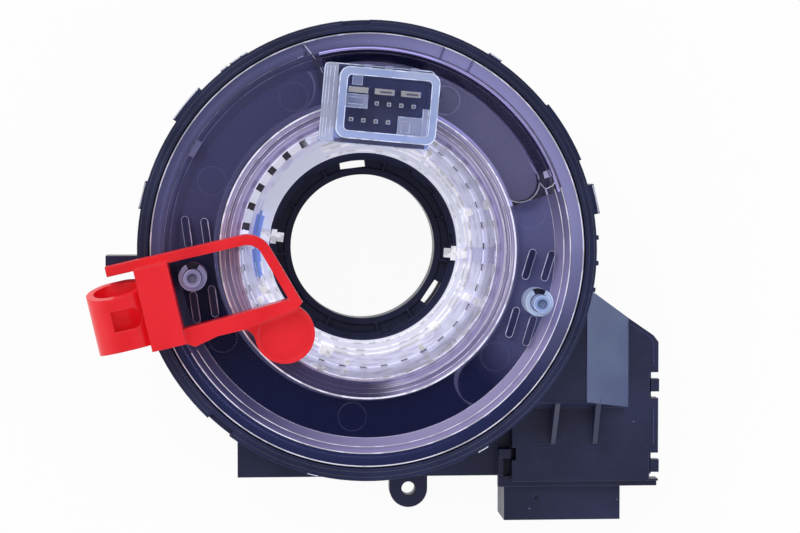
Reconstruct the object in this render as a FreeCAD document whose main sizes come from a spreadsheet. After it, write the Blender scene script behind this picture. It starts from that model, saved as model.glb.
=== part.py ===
import FreeCAD, Part
import math
import os
import re

import Sketcher
from FreeCAD import Placement, Rotation, Vector

# Steering clock spring with angle sensor, lying on its back, steering wheel side up (+Z).
# The origin is on the ring's axis at the rear face. All sizes are in millimetres.

SIZES = {
    # stator ring
    "ledge_width": 3.5,
    "rim_wall": 2.5,
    "rim_top": 38.0,
    "floor_low": 18.0,
    "floor_skin": 2.0,
    "running_gap": 0.3,
    "lug_proud": 7.1,
    "lug_width": 3.4,
    "lug_height": 7.5,
    # clear rotor disc
    "annulus_width": 3.1,
    "slope_shelf": 1.6,
    "slope_run": 1.9,
    "flat_width": 9.2,
    "lip_width": 4.7,
    "hub_clear": 5.0,
    "disc_sink": 0.8,
    "disc_skin": 1.5,
    "slope_step": 0.9,
    "flat_sink": 2.8,
    "lip_step": 0.5,
    "hub_skin": 1.5,
    "hub_draft": 0.5,
    "drum_skin": 1.5,
    "sector_start": 24.0,
    "sector_end": 104.0,
    "sector_sink": 5.8,
    "sector_rise": 3.2,
    "sector_bite": 0.2,
    "sector_margin": 0.5,
    # posts and ribs on the disc
    "post_offset": 6.3,
    "left_post_angle": 188.0,
    "right_post_angle": -16.8,
    "collar_radius": 3.1,
    "collar_height": 9.0,
    "peg_radius": 1.9,
    "peg_height": 14.0,
    "peg_flare": 0.2,
    "peg_shoulder": 0.4,
    "peg_dimple": 1.1,
    "notch_width": 2.8,
    "notch_depth": 3.0,
    "rib_offset": 5.4,
    "rib_length": 7.2,
    "rib_width": 1.7,
    "rib_height": 1.8,
    "rib_spread": 2.2,
    "pocket_side": 5.8,
    "pocket_depth": 2.4,
    "hook_width": 3.4,
    "hook_skin": 1.5,
    "hook_tip": 1.4,
    # hub sleeve
    "bore_radius": 17.2,
    "bore_wall": 1.6,
    "trough_width": 1.8,
    "sleeve_wall": 1.7,
    "shoulder_width": 1.9,
    "sleeve_proud": 1.0,
    "web_low": 9.0,
    "web_skin": 2.0,
    "shoulder_skin": 1.6,
    "window_length": 6.0,
    "window_depth": 2.1,
    "fin_width": 0.7,
    "fin_height": 1.6,
    # code ring
    "code_gap": 1.0,
    "sleeve_fit": 0.1,
    "code_flange": 2.8,
    "skirt_inset": 0.8,
    "skirt_skin": 1.8,
    "code_skin": 2.0,
    "code_count": 36,
    "notch_reach": 1.6,
    "code_notch_width": 1.8,
    # wheel socket on the disc
    "socket_back": 1.2,
    "socket_rise": 14.0,
    "socket_skin": 1.6,
    "pin_rise": 8.0,
    "socket_x": 3.6,
    "socket_tilt": -5.1,
    "socket_length": 22.2,
    "socket_width": 15.8,
    "socket_wall": 1.7,
    "socket_round": 2.2,
    "base_length": 25.2,
    "base_width": 18.0,
    "base_shift": -1.7,
    "pin_pitch": 2.76,
    "pin_side": 0.9,
    "pin_low_inset": 3.4,
    "pin_low_v": -3.6,
    "pin_high_inset": 8.8,
    "pin_high_v": 0.4,
    "blade_inset": 4.5,
    "blade_v": 3.1,
    "blade_length": 4.4,
    "blade_width": 1.3,
    "blade_pitch": 5.9,
    # chamber: film, carrier, rollers, ribbons
    "film_skin": 0.2,
    "carrier_skin": 0.7,
    "carrier_gap": 2.1,
    "carrier_edge": 2.6,
    "head_room": 0.8,
    "roller_radius": 3.4,
    "roller_offset": 5.1,
    "axle_radius": 1.2,
    "axle_fit": 0.05,
    "ribbon_skin": 0.25,
    "ribbon_pitch": 0.8,
    "ribbon_turns": 1.5,
    "coil_angle": 115.5,
    "coil_spacing": 195.5,
    "terminal_sweep": 11.0,
    "terminal_skin": 1.6,
    # blue strip on the hub
    "strip_inset": 3.6,
    "strip_skin": 0.5,
    "strip_height": 5.5,
    "strip_start": 160.0,
    "strip_sweep": 36.0,
    # rear and sensor housing
    "ring_overhang": 2.3,
    "cover_skin": 1.8,
    "housing_wall": 1.8,
    "deck_skin": 2.0,
    "rear_bore": 24.0,
    "collar_wall": 1.5,
    "collar_top": 5.0,
    "block_left": -30.0,
    "block_overlap": 3.1,
    "block_inset": 1.1,
    "ear_x": 11.4,
    "ear_drop": 4.7,
    "ear_radius": 4.6,
    "ear_hole": 1.65,
    "ear_skin": 4.0,
    # module
    "module_step": 4.0,
    "lid_skin": 2.0,
    "lid_wall": 1.2,
    "lid_gap": 0.2,
    "lid_skirt": 2.0,
    "ring_clear": 0.5,
    "lid_left": 34.9,
    "lid_width": 34.9,
    "lid_depth": 34.7,
    "lid_shoulder": 1.2,
    "lid_bottom": -55.6,
    "lid_slope_rise": 0.69,
    "lid_corner": 1.6,
    "block_rise": 9.0,
    "block_margin": 7.2,
    "block_slope": 11.3,
    "block_back": 19.8,
    "block_lean": 2.2,
    "block_skin": 1.6,
    "gusset_x": 44.0,
    "gusset_pitch": 10.0,
    "gusset_skin": 1.2,
    "gusset_reach": 10.8,
    "latch_pitch": 19.2,
    "latch_margin": 3.6,
    "latch_length": 6.2,
    "latch_depth": 2.1,
    "lip_reach": 1.4,
    "lip_skin": 2.0,
    "lip_offset": 3.1,
    # harness plug
    "plug_offset": 1.4,
    "plug_width": 27.9,
    "plug_reach": 9.8,
    "plug_root": 3.6,
    "plug_rise": 1.6,
    "plug_drop": 0.6,
    "plug_pin_sink": 2.6,
    "plug_pin_inset": 0.8,
    "plug_wall": 1.6,
    "plug_depth": 8.4,
    "plug_key": 1.2,
    "plug_pin_side": 0.7,
    "plug_pin_pitch": 3.6,
    "plug_pin_rows": 4.8,
    "plug_pin_step": 1.6,
    # board and light barriers
    "board_rise": 2.8,
    "board_eye": 0.9,
    "board_margin": 2.4,
    "board_side": 1.0,
    "board_inset": 1.8,
    "board_depth": 26.6,
    "pillar_inset": 3.0,
    "board_skin": 1.6,
    "board_left": 20.0,
    "pillar_radius": 2.0,
    "rib_wall": 1.3,
    "rib_rise": 1.5,
    "barrier_reach": 1.8,
    "barrier_back": 3.2,
    "barrier_sink": 0.8,
    "barrier_gap": 0.4,
    "barrier_width": 6.0,
    "barrier_base": 1.4,
    # transport lock
    "lock_angle": 193.0,
    "lock_arm": 7.0,
    "post_clear": 4.5,
    "bar_width": 5.9,
    "grip_length": 13.6,
    "tip_reach": 8.0,
    "eye_reach": 4.5,
    "grip_height": 12.0,
    "grip_skin": 1.7,
    "grip_side_a": -6.2,
    "grip_side_b": 8.9,
    "grip_bevel": 3.4,
    "bar_side_b": 10.4,
    "arm_side_a": -10.2,
    "arm_width": 2.3,
    "arm_corner": 23.8,
    "arm_bend": 4.85,
    "arm_lean": 72.5,
    "arm_leg": 17.72,
    "arm_end": 19.6,
    "paddle_u": 22.8,
    "paddle_v": 13.8,
    "paddle_radius": 6.8,
    "paddle_height": 4.0,
    "paddle_skin": 3.4,
    "paddle_rim": 0.9,
    "neck_round": 3.0,
    "eye_v": -0.3,
    "eye_length": 4.2,
    "eye_width": 4.6,
}

# Outer wall details: angle, width along the wall, how far proud, low and high edge below the rim.
WALL_TABS = (
    (124.8, 3.0, 0.35, 6.0, 0.0),
    (128.3, 1.8, 0.35, 6.0, 0.0),
    (122.3, 1.6, 0.35, 6.0, 0.0),
    (56.6, 3.2, 0.45, 6.0, 0.0),
    (166.0, 6.4, 0.45, 8.0, 0.4),
    (12.7, 6.9, 1.3, 9.0, 0.6),
    (3.1, 1.0, 0.6, 5.0, 0.8),
    (-3.3, 1.0, 0.6, 5.0, 0.8),
    (-10.0, 1.0, 0.6, 5.0, 0.8),
    (256.0, 3.0, 0.45, 6.0, 0.0),
    (300.0, 3.0, 0.45, 6.0, 0.0),
)
# Thicker stretches of the rim: start angle, sweep, how far proud, height below the rim.
WALL_BANDS = (
    (23.0, 16.0, 0.55, 5.0),
    (136.0, 10.0, 0.9, 3.0),
    (205.0, 21.0, 0.3, 6.0),
    (233.0, 62.0, 0.3, 4.0),
)
ROLLER_ANGLES = (12.0, 62.0, 115.5, 156.0, 211.5, 265.0, 320.0)
SLEEVE_WINDOWS = (97.0, -34.0)
SLEEVE_FINS = (118.0, 75.0, 20.0, -10.0, -55.0, -80.0, 245.0, 215.0, 185.0, 150.0)
CODE_WINDOWS = (209.0, 254.6, 300.0, 340.0)
HUB_HOOKS = (173.0, -4.0)
BARRIER_ANGLES = (222.0, 262.0)
RIB_PAIRS = (
    (174.0, "left_post_angle"), (198.0, "left_post_angle"),
    (-5.0, "right_post_angle"), (-26.5, "right_post_angle"),
)
SEAM_ANGLES = (107.5, 69.5, 61.0)
SLEEVE_NICKS = (128.0, 60.0, 40.0, 5.0, -75.0, 235.0, 200.0, 165.0)
SOCKET_TABS = ("-5.9", "-1.2", "4.6")
RIM_NOTCHES = ((93.0, 6.2), (229.5, 6.4))
PILLAR_ANGLES = (35.0, 95.0, 155.0, 215.0)

FLOOR_TOP = "(floor_low + floor_skin)"
DISC_TOP = "(rim_top - disc_sink)"
DISC_LOW = f"({DISC_TOP} - disc_skin)"
LEDGE_TOP = f"({DISC_LOW} - running_gap)"
FLAT_TOP = "(rim_top - flat_sink)"
FLAT_LOW = f"({FLAT_TOP} - disc_skin)"
SECTOR_TOP = "(rim_top - sector_sink)"
SECTOR_LOW = f"({SECTOR_TOP} - disc_skin)"
CODE_TOP = "(code_low + code_skin)"
FILM_TOP = f"({FLOOR_TOP} + film_skin)"
CARRIER_LOW = f"({FILM_TOP} + running_gap)"
CARRIER_TOP = f"({CARRIER_LOW} + carrier_skin)"
RIBBON_TOP = f"({CARRIER_TOP} + ribbon_height)"
BOARD_TOP = "(board_low + board_skin)"
MODULE_RISE = "(module_top - lid_skin)"

# Sizes that follow from the named ones and from each other.
FOLLOWS = {
    "bore_lip": "bore_radius + bore_wall",
    "sleeve_inner": "bore_lip + trough_width",
    "sleeve_outer": "sleeve_inner + sleeve_wall",
    "shoulder_reach": "sleeve_outer + shoulder_width",
    "lip_inner": "shoulder_reach + hub_clear",
    "lip_outer": "lip_inner + lip_width",
    "slope_inner": "lip_outer + flat_width",
    "slope_middle": "slope_inner + slope_run",
    "slope_outer": "slope_middle + slope_shelf",
    "disc_radius": "slope_outer + annulus_width",
    "ring_radius": "disc_radius + running_gap + rim_wall",
    "chamber_radius": "ring_radius - ledge_width",
    "lug_reach": "ring_radius + lug_proud",
    "floor_hole": "lip_inner + hub_skin + running_gap",
    "sector_outer": "slope_inner - sector_margin",
    "post_circle": "lip_outer + post_offset",
    "rib_circle": "lip_outer + rib_offset",
    "code_low": "floor_low - deck_skin - code_skin - code_gap",
    "code_inner": "sleeve_outer + sleeve_fit",
    "code_skirt_inner": "lip_inner - skirt_inset",
    "code_skirt_outer": "code_skirt_inner + skirt_skin",
    "code_outer": "code_skirt_outer + code_flange",
    "code_notch_inner": "code_skirt_inner - notch_reach",
    "code_skirt_low": f"{BOARD_TOP} + barrier_base + barrier_gap",
    "sleeve_low": "collar_top + running_gap",
    "sleeve_top": "code_low + sleeve_proud",
    "web_top": "web_low + web_skin",
    "window_start": "bore_lip + sleeve_fit",
    "socket_y": "lip_outer - socket_back",
    "base_low": "rim_top",
    "socket_floor": "rim_top + socket_skin",
    "socket_top": "rim_top + socket_rise",
    "pin_top": "socket_floor + pin_rise",
    "pin_low_u": "pin_low_inset - socket_length / 2",
    "pin_high_u": "pin_high_inset - socket_length / 2",
    "blade_u": "blade_inset - socket_length / 2",
    "carrier_inner": "lip_outer + carrier_gap",
    "carrier_outer": "chamber_radius - carrier_edge",
    "roller_circle": "lip_outer + roller_offset",
    "ribbon_height": f"{SECTOR_LOW} - {CARRIER_TOP} - head_room",
    "roller_height": "ribbon_height - running_gap",
    "inner_coil": "lip_outer + ribbon_pitch * ribbon_turns + ribbon_skin",
    "outer_coil": "chamber_radius - ribbon_pitch * ribbon_turns - 2 * ribbon_skin",
    "strip_radius": "lip_inner - strip_inset",
    "housing_radius": "ring_radius - ring_overhang",
    "block_right": "lid_left + block_overlap",
    "block_bottom": "lid_bottom + block_inset",
    "ear_y": "block_bottom - ear_drop",
    "module_top": "floor_low + module_step",
    "lid_right": "lid_left + lid_width",
    "lid_slope_x": "lid_right - lid_shoulder",
    "lid_slope_y": "lid_bottom + lid_depth",
    "lip_left": "lid_left - lip_offset",
    "latch_y": "lid_bottom + latch_pitch + latch_margin",
    "block_top": "module_top + block_rise",
    "block_foot_x": "lid_right - block_margin",
    "block_edge_x": "block_foot_x - block_slope",
    "block_edge_y": "lid_bottom + block_back",
    "block_foot_y": "block_edge_y - block_lean",
    "plug_left": "lid_left - plug_offset",
    "plug_right": "plug_left + plug_width",
    "plug_end": "lid_bottom - plug_reach",
    "plug_back": "lid_bottom + plug_root",
    "plug_low": "cover_skin + plug_rise",
    "plug_high": "floor_low - plug_drop",
    "plug_pin_tip": "plug_end + plug_pin_sink",
    "plug_pin_foot": "board_bottom + plug_pin_inset",
    "board_low": "cover_skin + board_rise",
    "board_inner": "rear_bore + collar_wall + board_eye",
    "board_outer": "housing_radius - housing_wall - board_margin",
    "board_right": "lid_right - lid_wall - lid_gap - housing_wall - board_side",
    "board_bottom": "lid_bottom + lid_wall + lid_gap + housing_wall + board_inset",
    "board_edge": "board_bottom + board_depth",
    "pillar_circle": "board_outer - pillar_inset",
    "barrier_inner": "code_skirt_inner - barrier_reach",
    "barrier_outer": "code_skirt_outer + barrier_back",
    "barrier_top": "code_low - barrier_sink",
    "bar_inner": "post_circle + post_clear",
    "grip_inner": "bar_inner + bar_width",
    "grip_outer": "grip_inner + grip_length",
    "arm_tip": "grip_inner + tip_reach",
    "arm_side_b": "arm_side_a + arm_width",
    "eye_u": "grip_inner + eye_reach",
}

DOC = FreeCAD.newDocument("clock_spring")
SHEET = DOC.addObject("Spreadsheet::Sheet", "Sizes")
PARTS = []


def fill_sheet():
    for row, (alias, value) in enumerate(SIZES.items(), 1):
        SHEET.set(f"A{row}", alias)
        SHEET.set(f"B{row}", str(value))
        SHEET.setAlias(f"B{row}", alias)
    DOC.recompute()


def bound(text):
    """The expression with every size's alias pointing into the sheet."""
    def pointed(word):
        if word[0] in FOLLOWS:
            return f"({bound(FOLLOWS[word[0]])})"
        return f"Sizes.{word[0]}" if word[0] in SIZES else word[0]

    return re.sub(r"[a-z][a-z_]*", pointed, str(text))


def number(text):
    return float(SHEET.evalExpression(bound(text)))


def bind(thing, **sizes):
    for name, text in sizes.items():
        thing.setExpression(name, bound(text))


def place(thing, x="0", y="0", z="0", turn="0"):
    """Put a thing at x, y, z, turned about +Z."""
    for name, text in (("Base.x", x), ("Base.y", y), ("Base.z", z), ("Rotation.Angle", turn)):
        thing.setExpression(f"Placement.{name}", bound(text))
    return thing


def keep(thing, label):
    """Mark a finished sub-part, whose label names its file."""
    thing.Label = label
    PARTS.append(thing)
    return thing


def box(name, x, y, z, length, width, height, turn="0"):
    block = DOC.addObject("Part::Box", name)
    bind(block, Length=length, Width=width, Height=height)
    return place(block, x, y, z, turn)


def radial_box(name, angle, inner, outer, width, low, height):
    """A block that runs outward from the axis at an angle, centred across its width."""
    x = f"({inner}) * cos({angle}) + ({width}) / 2 * sin({angle})"
    y = f"({inner}) * sin({angle}) - ({width}) / 2 * cos({angle})"
    return box(name, x, y, low, f"({outer}) - ({inner})", width, height, angle)


def cylinder(name, radius, low, height, x="0", y="0"):
    rod = DOC.addObject("Part::Cylinder", name)
    bind(rod, Radius=radius, Height=height)
    return place(rod, x, y, low)


def cone(name, radius, top, low, height, x="0", y="0"):
    rod = DOC.addObject("Part::Cone", name)
    bind(rod, Radius1=radius, Radius2=top, Height=height)
    return place(rod, x, y, low)


def fuse(name, *things):
    whole = DOC.addObject("Part::MultiFuse", name)
    whole.Shapes = list(things)
    return whole


def cut(name, base, *tools):
    tool = tools[0] if len(tools) == 1 else fuse(name + "_tools", *tools)
    rest = DOC.addObject("Part::Cut", name)
    rest.Base = base
    rest.Tool = tool
    return rest


def common(name, one, other):
    both = DOC.addObject("Part::Common", name)
    both.Base = one
    both.Tool = other
    return both


def outline(body, name, role, corners):
    """A closed sketch on an origin plane, every corner held by two bound dimensions."""
    sketch = body.newObject("Sketcher::SketchObject", name)
    plane = next(p for p in body.Origin.OriginFeatures if p.Role == role)
    sketch.AttachmentSupport = (plane, [""])
    sketch.MapMode = "FlatFace"
    points = [Vector(number(x), number(y), 0) for x, y in corners]
    after = points[1:] + points[:1]
    sketch.addGeometry([Part.LineSegment(p, q) for p, q in zip(points, after)])
    for i, point in enumerate(points):
        sketch.addConstraint(Sketcher.Constraint("Coincident", i, 2, (i + 1) % len(points), 1))
        for kind, value, text in zip(("DistanceX", "DistanceY"), point, corners[i]):
            at = sketch.addConstraint(Sketcher.Constraint(kind, i, 1, value))
            sketch.setExpression(f"Constraints[{at}]", bound(text))
    return sketch


def turned(name, corners, sweep="360", start="0"):
    """A body turned about the ring's axis from corners given as radius and height."""
    body = DOC.addObject("PartDesign::Body", name)
    lathe = body.newObject("PartDesign::Revolution", name + "_turn")
    lathe.Profile = outline(body, name + "_section", "XZ_Plane", corners)
    lathe.ReferenceAxis = (lathe.Profile[0], ["V_Axis"])
    bind(lathe, Angle=sweep)
    body.Tip = lathe
    return place(body, turn=start)


def padded(name, corners, low, height, role="XY_Plane"):
    """A prism of straight edges: from z = low upward, or from x = low along +X on the YZ plane."""
    body = DOC.addObject("PartDesign::Body", name)
    pad = body.newObject("PartDesign::Pad", name + "_pad")
    pad.Profile = outline(body, name + "_outline", role, corners)
    bind(pad, Length=height)
    body.Tip = pad
    if role == "YZ_Plane":
        return place(body, x=low)
    return place(body, z=low)


def lying(name, radius, x, y, z, length, turn):
    """A rod that lies level and points along an angle from x, y, z."""
    rod = DOC.addObject("Part::Cylinder", name)
    bind(rod, Radius=radius, Height=length)
    level = Rotation(Vector(0, 0, 1), number(turn)) * Rotation(Vector(0, 1, 0), 90)
    rod.Placement = Placement(Vector(), level)
    bind(rod, **{"Placement.Base.x": x, "Placement.Base.y": y, "Placement.Base.z": z})
    return rod


def ring(name, inner, outer, low, height):
    return cut(
        name,
        cylinder(name + "_outer", outer, low, height),
        cylinder(name + "_inner", inner, f"({low}) - 1", f"({height}) + 2"),
    )


def ring_sector(name, inner, outer, low, height, start, sweep):
    section = ((inner, low), (outer, low), (outer, f"{low} + {height}"), (inner, f"{low} + {height}"))
    return turned(name, section, sweep, start)


def polar(radius, angle):
    return f"({radius}) * cos({angle})", f"({radius}) * sin({angle})"


def solid_feature(name, shape):
    """A feature whose shape is computed here from the sheet's sizes."""
    feature = DOC.addObject("Part::Feature", name)
    feature.Shape = shape
    return feature


def along(start, heading, steps, half):
    """Points and arcs of a line offset by half to the left of a path of straight runs and arcs.

    A step is (length, 0) for a straight run, or (radius, sweep) with the sweep in degrees,
    positive to the left.
    """
    at, turn, edges = Vector(start), math.radians(heading), []
    for size, sweep in steps:
        left = Vector(-math.sin(turn), math.cos(turn), 0)
        if sweep == 0:
            ahead = at + Vector(math.cos(turn), math.sin(turn), 0) * size
            edges.append(Part.LineSegment(at + left * half, ahead + left * half).toShape())
            at = ahead
            continue
        side = 1 if sweep > 0 else -1
        centre = at + left * size * side
        swung = [turn + math.radians(sweep) * share for share in (0, 0.5, 1)]
        spots = [
            centre - Vector(-math.sin(a), math.cos(a), 0) * side * (size - side * half)
            for a in swung
        ]
        edges.append(Part.Arc(*spots).toShape())
        turn = swung[2]
        at = centre - Vector(-math.sin(turn), math.cos(turn), 0) * side * size
    return edges


def strip(start, heading, steps, width, height):
    """A solid strip of one width that follows a path and stands on z = 0."""
    left = along(start, heading, steps, width / 2)
    right = along(start, heading, steps, -width / 2)
    ends = [
        Part.LineSegment(right[0].Vertexes[0].Point, left[0].Vertexes[0].Point).toShape(),
        Part.LineSegment(left[-1].Vertexes[-1].Point, right[-1].Vertexes[-1].Point).toShape(),
    ]
    wire = Part.Wire(Part.__sortEdges__(left + right + ends))
    return Part.Face(wire).extrude(Vector(0, 0, height))


# ---- stator ring ----

def ribbon_end_angle(number_of):
    """The angle at which a ribbon's two ends lie, on the outer wall and on the hub."""
    return f"(coil_angle + 360 * ribbon_turns + coil_spacing * {number_of})"


def stator_housing():
    shell = turned("stator_shell", (
        ("floor_hole", "floor_low"),
        ("ring_radius", "floor_low"),
        ("ring_radius", "rim_top"),
        ("ring_radius - rim_wall", "rim_top"),
        ("ring_radius - rim_wall", LEDGE_TOP),
        ("chamber_radius", LEDGE_TOP),
        ("chamber_radius", FLOOR_TOP),
        ("floor_hole", FLOOR_TOP),
    ))
    tabs = [
        radial_box(
            f"wall_tab_{i}", angle, "ring_radius - rim_wall / 2", f"ring_radius + {proud}",
            width, f"rim_top - {low}", f"{low} - {high}",
        )
        for i, (angle, width, proud, low, high) in enumerate(WALL_TABS)
    ]
    bands = [
        ring_sector(
            f"wall_band_{i}", "ring_radius - rim_wall / 2", f"ring_radius + {proud}",
            f"(rim_top - {deep})", deep, start, sweep,
        )
        for i, (start, sweep, proud, deep) in enumerate(WALL_BANDS)
    ]
    lug = box(
        "stator_lug", "-lug_reach", "-lug_width - 1", "rim_top - 0.4 - lug_height",
        "lug_reach - ring_radius + 1", "lug_width", "lug_height",
    )
    notches = [
        radial_box(
            f"rim_notch_{i}", angle, "ring_radius - rim_wall / 2", "ring_radius + 2",
            width, "rim_top - 1.6", "2",
        )
        for i, (angle, width) in enumerate(RIM_NOTCHES)
    ]
    recesses = [
        ring_sector(
            f"terminal_recess_{i}", "chamber_radius - 1", "chamber_radius + terminal_skin",
            FLOOR_TOP, f"({RIBBON_TOP} - {FLOOR_TOP})", ribbon_end_angle(i), "terminal_sweep",
        )
        for i in range(2)
    ]
    whole = fuse("stator_whole", shell, lug, *tabs, *bands)
    keep(cut("stator_cut", whole, *notches, *recesses), "stator_housing")


def outer_terminals():
    for i in range(2):
        block = ring_sector(
            f"outer_clamp_{i}", "outer_coil + ribbon_pitch * ribbon_turns - ribbon_skin / 2",
            "chamber_radius + terminal_skin", FLOOR_TOP, f"({RIBBON_TOP} - {FLOOR_TOP})",
            ribbon_end_angle(i), "terminal_sweep",
        )
        keep(block, f"outer_terminal_{i + 1}")


def slide_film():
    film = ring("film_ring", "floor_hole + 0.4", "chamber_radius - 0.9", FLOOR_TOP, "film_skin")
    keep(film, "slide_film")


# ---- clear rotor ----

def sector_cavity(name, inner, low, skin):
    """The deep sector of the disc, as a solid: the hollow itself, or grown by skin all round."""
    high = f"({DISC_TOP} + 1)" if skin == "0" else f"({DISC_LOW} + disc_skin / 2)"
    foot = f"(sector_outer + {skin} * 0.6)"
    rim = f"(sector_outer + sector_rise + {skin} * 0.6)"
    over = f"(sector_start - {skin} * 1.5)"
    bay = turned(
        name + "_bay",
        ((inner, low), (foot, low), (rim, high), (inner, high)),
        f"sector_end - sector_start + {skin} * 3",
        over,
    )
    middle = "((lip_outer + sector_outer) / 2)"
    x, y = polar(middle, "sector_start")
    nose = cylinder(
        name + "_nose", f"(sector_outer - lip_outer) / 2 + sector_bite + {skin}", low,
        f"{high} - {low}", x, y,
    )
    return fuse(name, bay, nose)


def disc_shell():
    return turned("disc_shell", (
        ("disc_radius", DISC_LOW),
        ("disc_radius", DISC_TOP),
        ("slope_outer", DISC_TOP),
        ("slope_outer - slope_step", f"{DISC_TOP} - slope_step"),
        ("slope_middle", f"{DISC_TOP} - slope_step"),
        ("slope_inner", FLAT_TOP),
        ("lip_outer", FLAT_TOP),
        ("lip_outer", "rim_top"),
        ("lip_outer - 1.2", "rim_top"),
        ("lip_outer - 1.2", "rim_top - lip_step"),
        ("lip_outer - 2.3", "rim_top - lip_step"),
        ("lip_outer - 2.3", "rim_top"),
        ("lip_inner + 1.1", "rim_top"),
        ("lip_inner + 1.1", "rim_top - lip_step"),
        ("lip_inner", "rim_top - lip_step"),
        ("lip_inner - hub_draft", CODE_TOP),
        ("lip_inner - hub_draft + hub_skin", CODE_TOP),
        ("lip_inner + hub_skin", "rim_top - disc_skin"),
        ("lip_outer - drum_skin", "rim_top - disc_skin"),
        ("lip_outer - drum_skin", CARRIER_LOW),
        ("lip_outer", CARRIER_LOW),
        ("lip_outer", FLAT_LOW),
        ("slope_inner + 0.8", FLAT_LOW),
        ("slope_outer + 0.8", DISC_LOW),
    ))


def stadium(name, x, y, turn, length, width, low, height):
    """A bar with round ends, centred on x, y."""
    run = f"(({length}) - ({width}))"
    bar = box(
        name + "_bar",
        f"{x} - {run} / 2 * cos({turn}) + {width} / 2 * sin({turn})",
        f"{y} - {run} / 2 * sin({turn}) - {width} / 2 * cos({turn})",
        low, run, width, height, turn,
    )
    ends = [
        cylinder(
            f"{name}_end_{side}", f"{width} / 2", low, height,
            f"{x} + {side} * {run} / 2 * cos({turn})", f"{y} + {side} * {run} / 2 * sin({turn})",
        )
        for side in (-1, 1)
    ]
    return fuse(name, bar, *ends)


def rib_pair(number_of, angle, post_angle):
    """Two ribs side by side, square to the line from the axis to their post."""
    ribs = []
    for side in (-1, 1):
        x, y = polar(f"rib_circle + {side} * rib_spread", angle)
        ribs.append(stadium(
            f"rib_{number_of}_{side + 1}", x, y, f"({post_angle} + 90)", "rib_length", "rib_width",
            f"{FLAT_TOP} - disc_skin / 2", "rib_height + disc_skin / 2",
        ))
    return ribs


def post(name, angle):
    """A notched collar with a taller dimpled peg on it, flared at the peg's root."""
    x, y = polar("post_circle", angle)
    foot = f"({FLAT_TOP} - disc_skin / 2)"
    collar = cylinder(name + "_collar", "collar_radius", foot, "collar_height + disc_skin / 2", x, y)
    notch = box(
        name + "_notch", f"{x} - notch_width / 2", f"{y} + peg_radius + peg_flare",
        f"{FLAT_TOP} + collar_height - notch_depth", "notch_width", "collar_radius + 1",
        "notch_depth + 1",
    )
    peg = cylinder(name + "_peg", "peg_radius", foot, "peg_height + disc_skin / 2", x, y)
    root = cone(
        name + "_root", "peg_radius + peg_flare", "peg_radius", f"{FLAT_TOP} + collar_height",
        "peg_shoulder", x, y,
    )
    dimple = cylinder(name + "_dimple", "peg_dimple", f"{FLAT_TOP} + peg_height - 1", "2", x, y)
    return cut(name, fuse(name + "_up", cut(name + "_cup", collar, notch), root, peg), dimple)


def hub_hook(number_of, angle):
    arm = radial_box(
        f"hook_{number_of}_arm", angle, "sleeve_inner + 0.2", "lip_inner - hub_draft + hub_skin / 2",
        "hook_width", CODE_TOP, "hook_skin",
    )
    tip = radial_box(
        f"hook_{number_of}_tip", angle, "sleeve_inner + 0.2", "sleeve_inner + 0.2 + hook_tip",
        "hook_width", "sleeve_top", f"{CODE_TOP} - sleeve_top + hook_skin",
    )
    return [arm, tip]


def rotor_cover():
    grown = sector_cavity("sector_form", "lip_outer - drum_skin / 2", SECTOR_LOW, "disc_skin")
    hollow = sector_cavity("sector_hollow", "lip_outer", SECTOR_TOP, "0")
    formed = cut("disc_formed", fuse("disc_grown", disc_shell(), grown), hollow)
    extras = [post("left_post", "left_post_angle"), post("right_post", "right_post_angle")]
    for i, (angle, post_angle) in enumerate(RIB_PAIRS):
        extras += rib_pair(i, angle, post_angle)
    for i, angle in enumerate(HUB_HOOKS):
        extras += hub_hook(i, angle)
    extras += [
        radial_box(
            f"disc_seam_{i}", angle, "slope_outer", "disc_radius - 0.2",
            "0.5", f"{DISC_TOP} - disc_skin / 2", "disc_skin / 2 + 0.2",
        )
        for i, angle in enumerate(SEAM_ANGLES)
    ]
    extras.append(radial_box(
        "slope_bar", "149.4", "slope_middle", "slope_middle + 1.2", "3.9",
        f"{DISC_TOP} - slope_step - disc_skin / 2", "disc_skin / 2 + 1.3",
    ))
    pocket = radial_box(
        "post_pocket", "right_post_angle", "lip_outer + 0.5", "lip_outer + 0.5 + pocket_depth",
        "pocket_side", f"{FLAT_LOW} - 1", "disc_skin + 2",
    )
    slots = [
        ring_sector(
            f"drum_slot_{i}", "lip_outer - drum_skin - 0.4", "lip_outer + 0.4", f"({CARRIER_LOW} - 1)",
            f"({RIBBON_TOP} - {CARRIER_LOW} + 1)", ribbon_end_angle(i), "terminal_sweep",
        )
        for i in range(2)
    ]
    keep(cut("rotor_cut", fuse("rotor_whole", formed, *extras), pocket, *slots), "rotor_cover")


def inner_terminals():
    for i in range(2):
        block = ring_sector(
            f"inner_clamp_{i}", "lip_inner + hub_skin",
            "inner_coil - ribbon_pitch * ribbon_turns + ribbon_skin / 2",
            CARRIER_LOW, f"({RIBBON_TOP} - {CARRIER_LOW})", ribbon_end_angle(i), "terminal_sweep",
        )
        keep(block, f"inner_terminal_{i + 1}")


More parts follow.
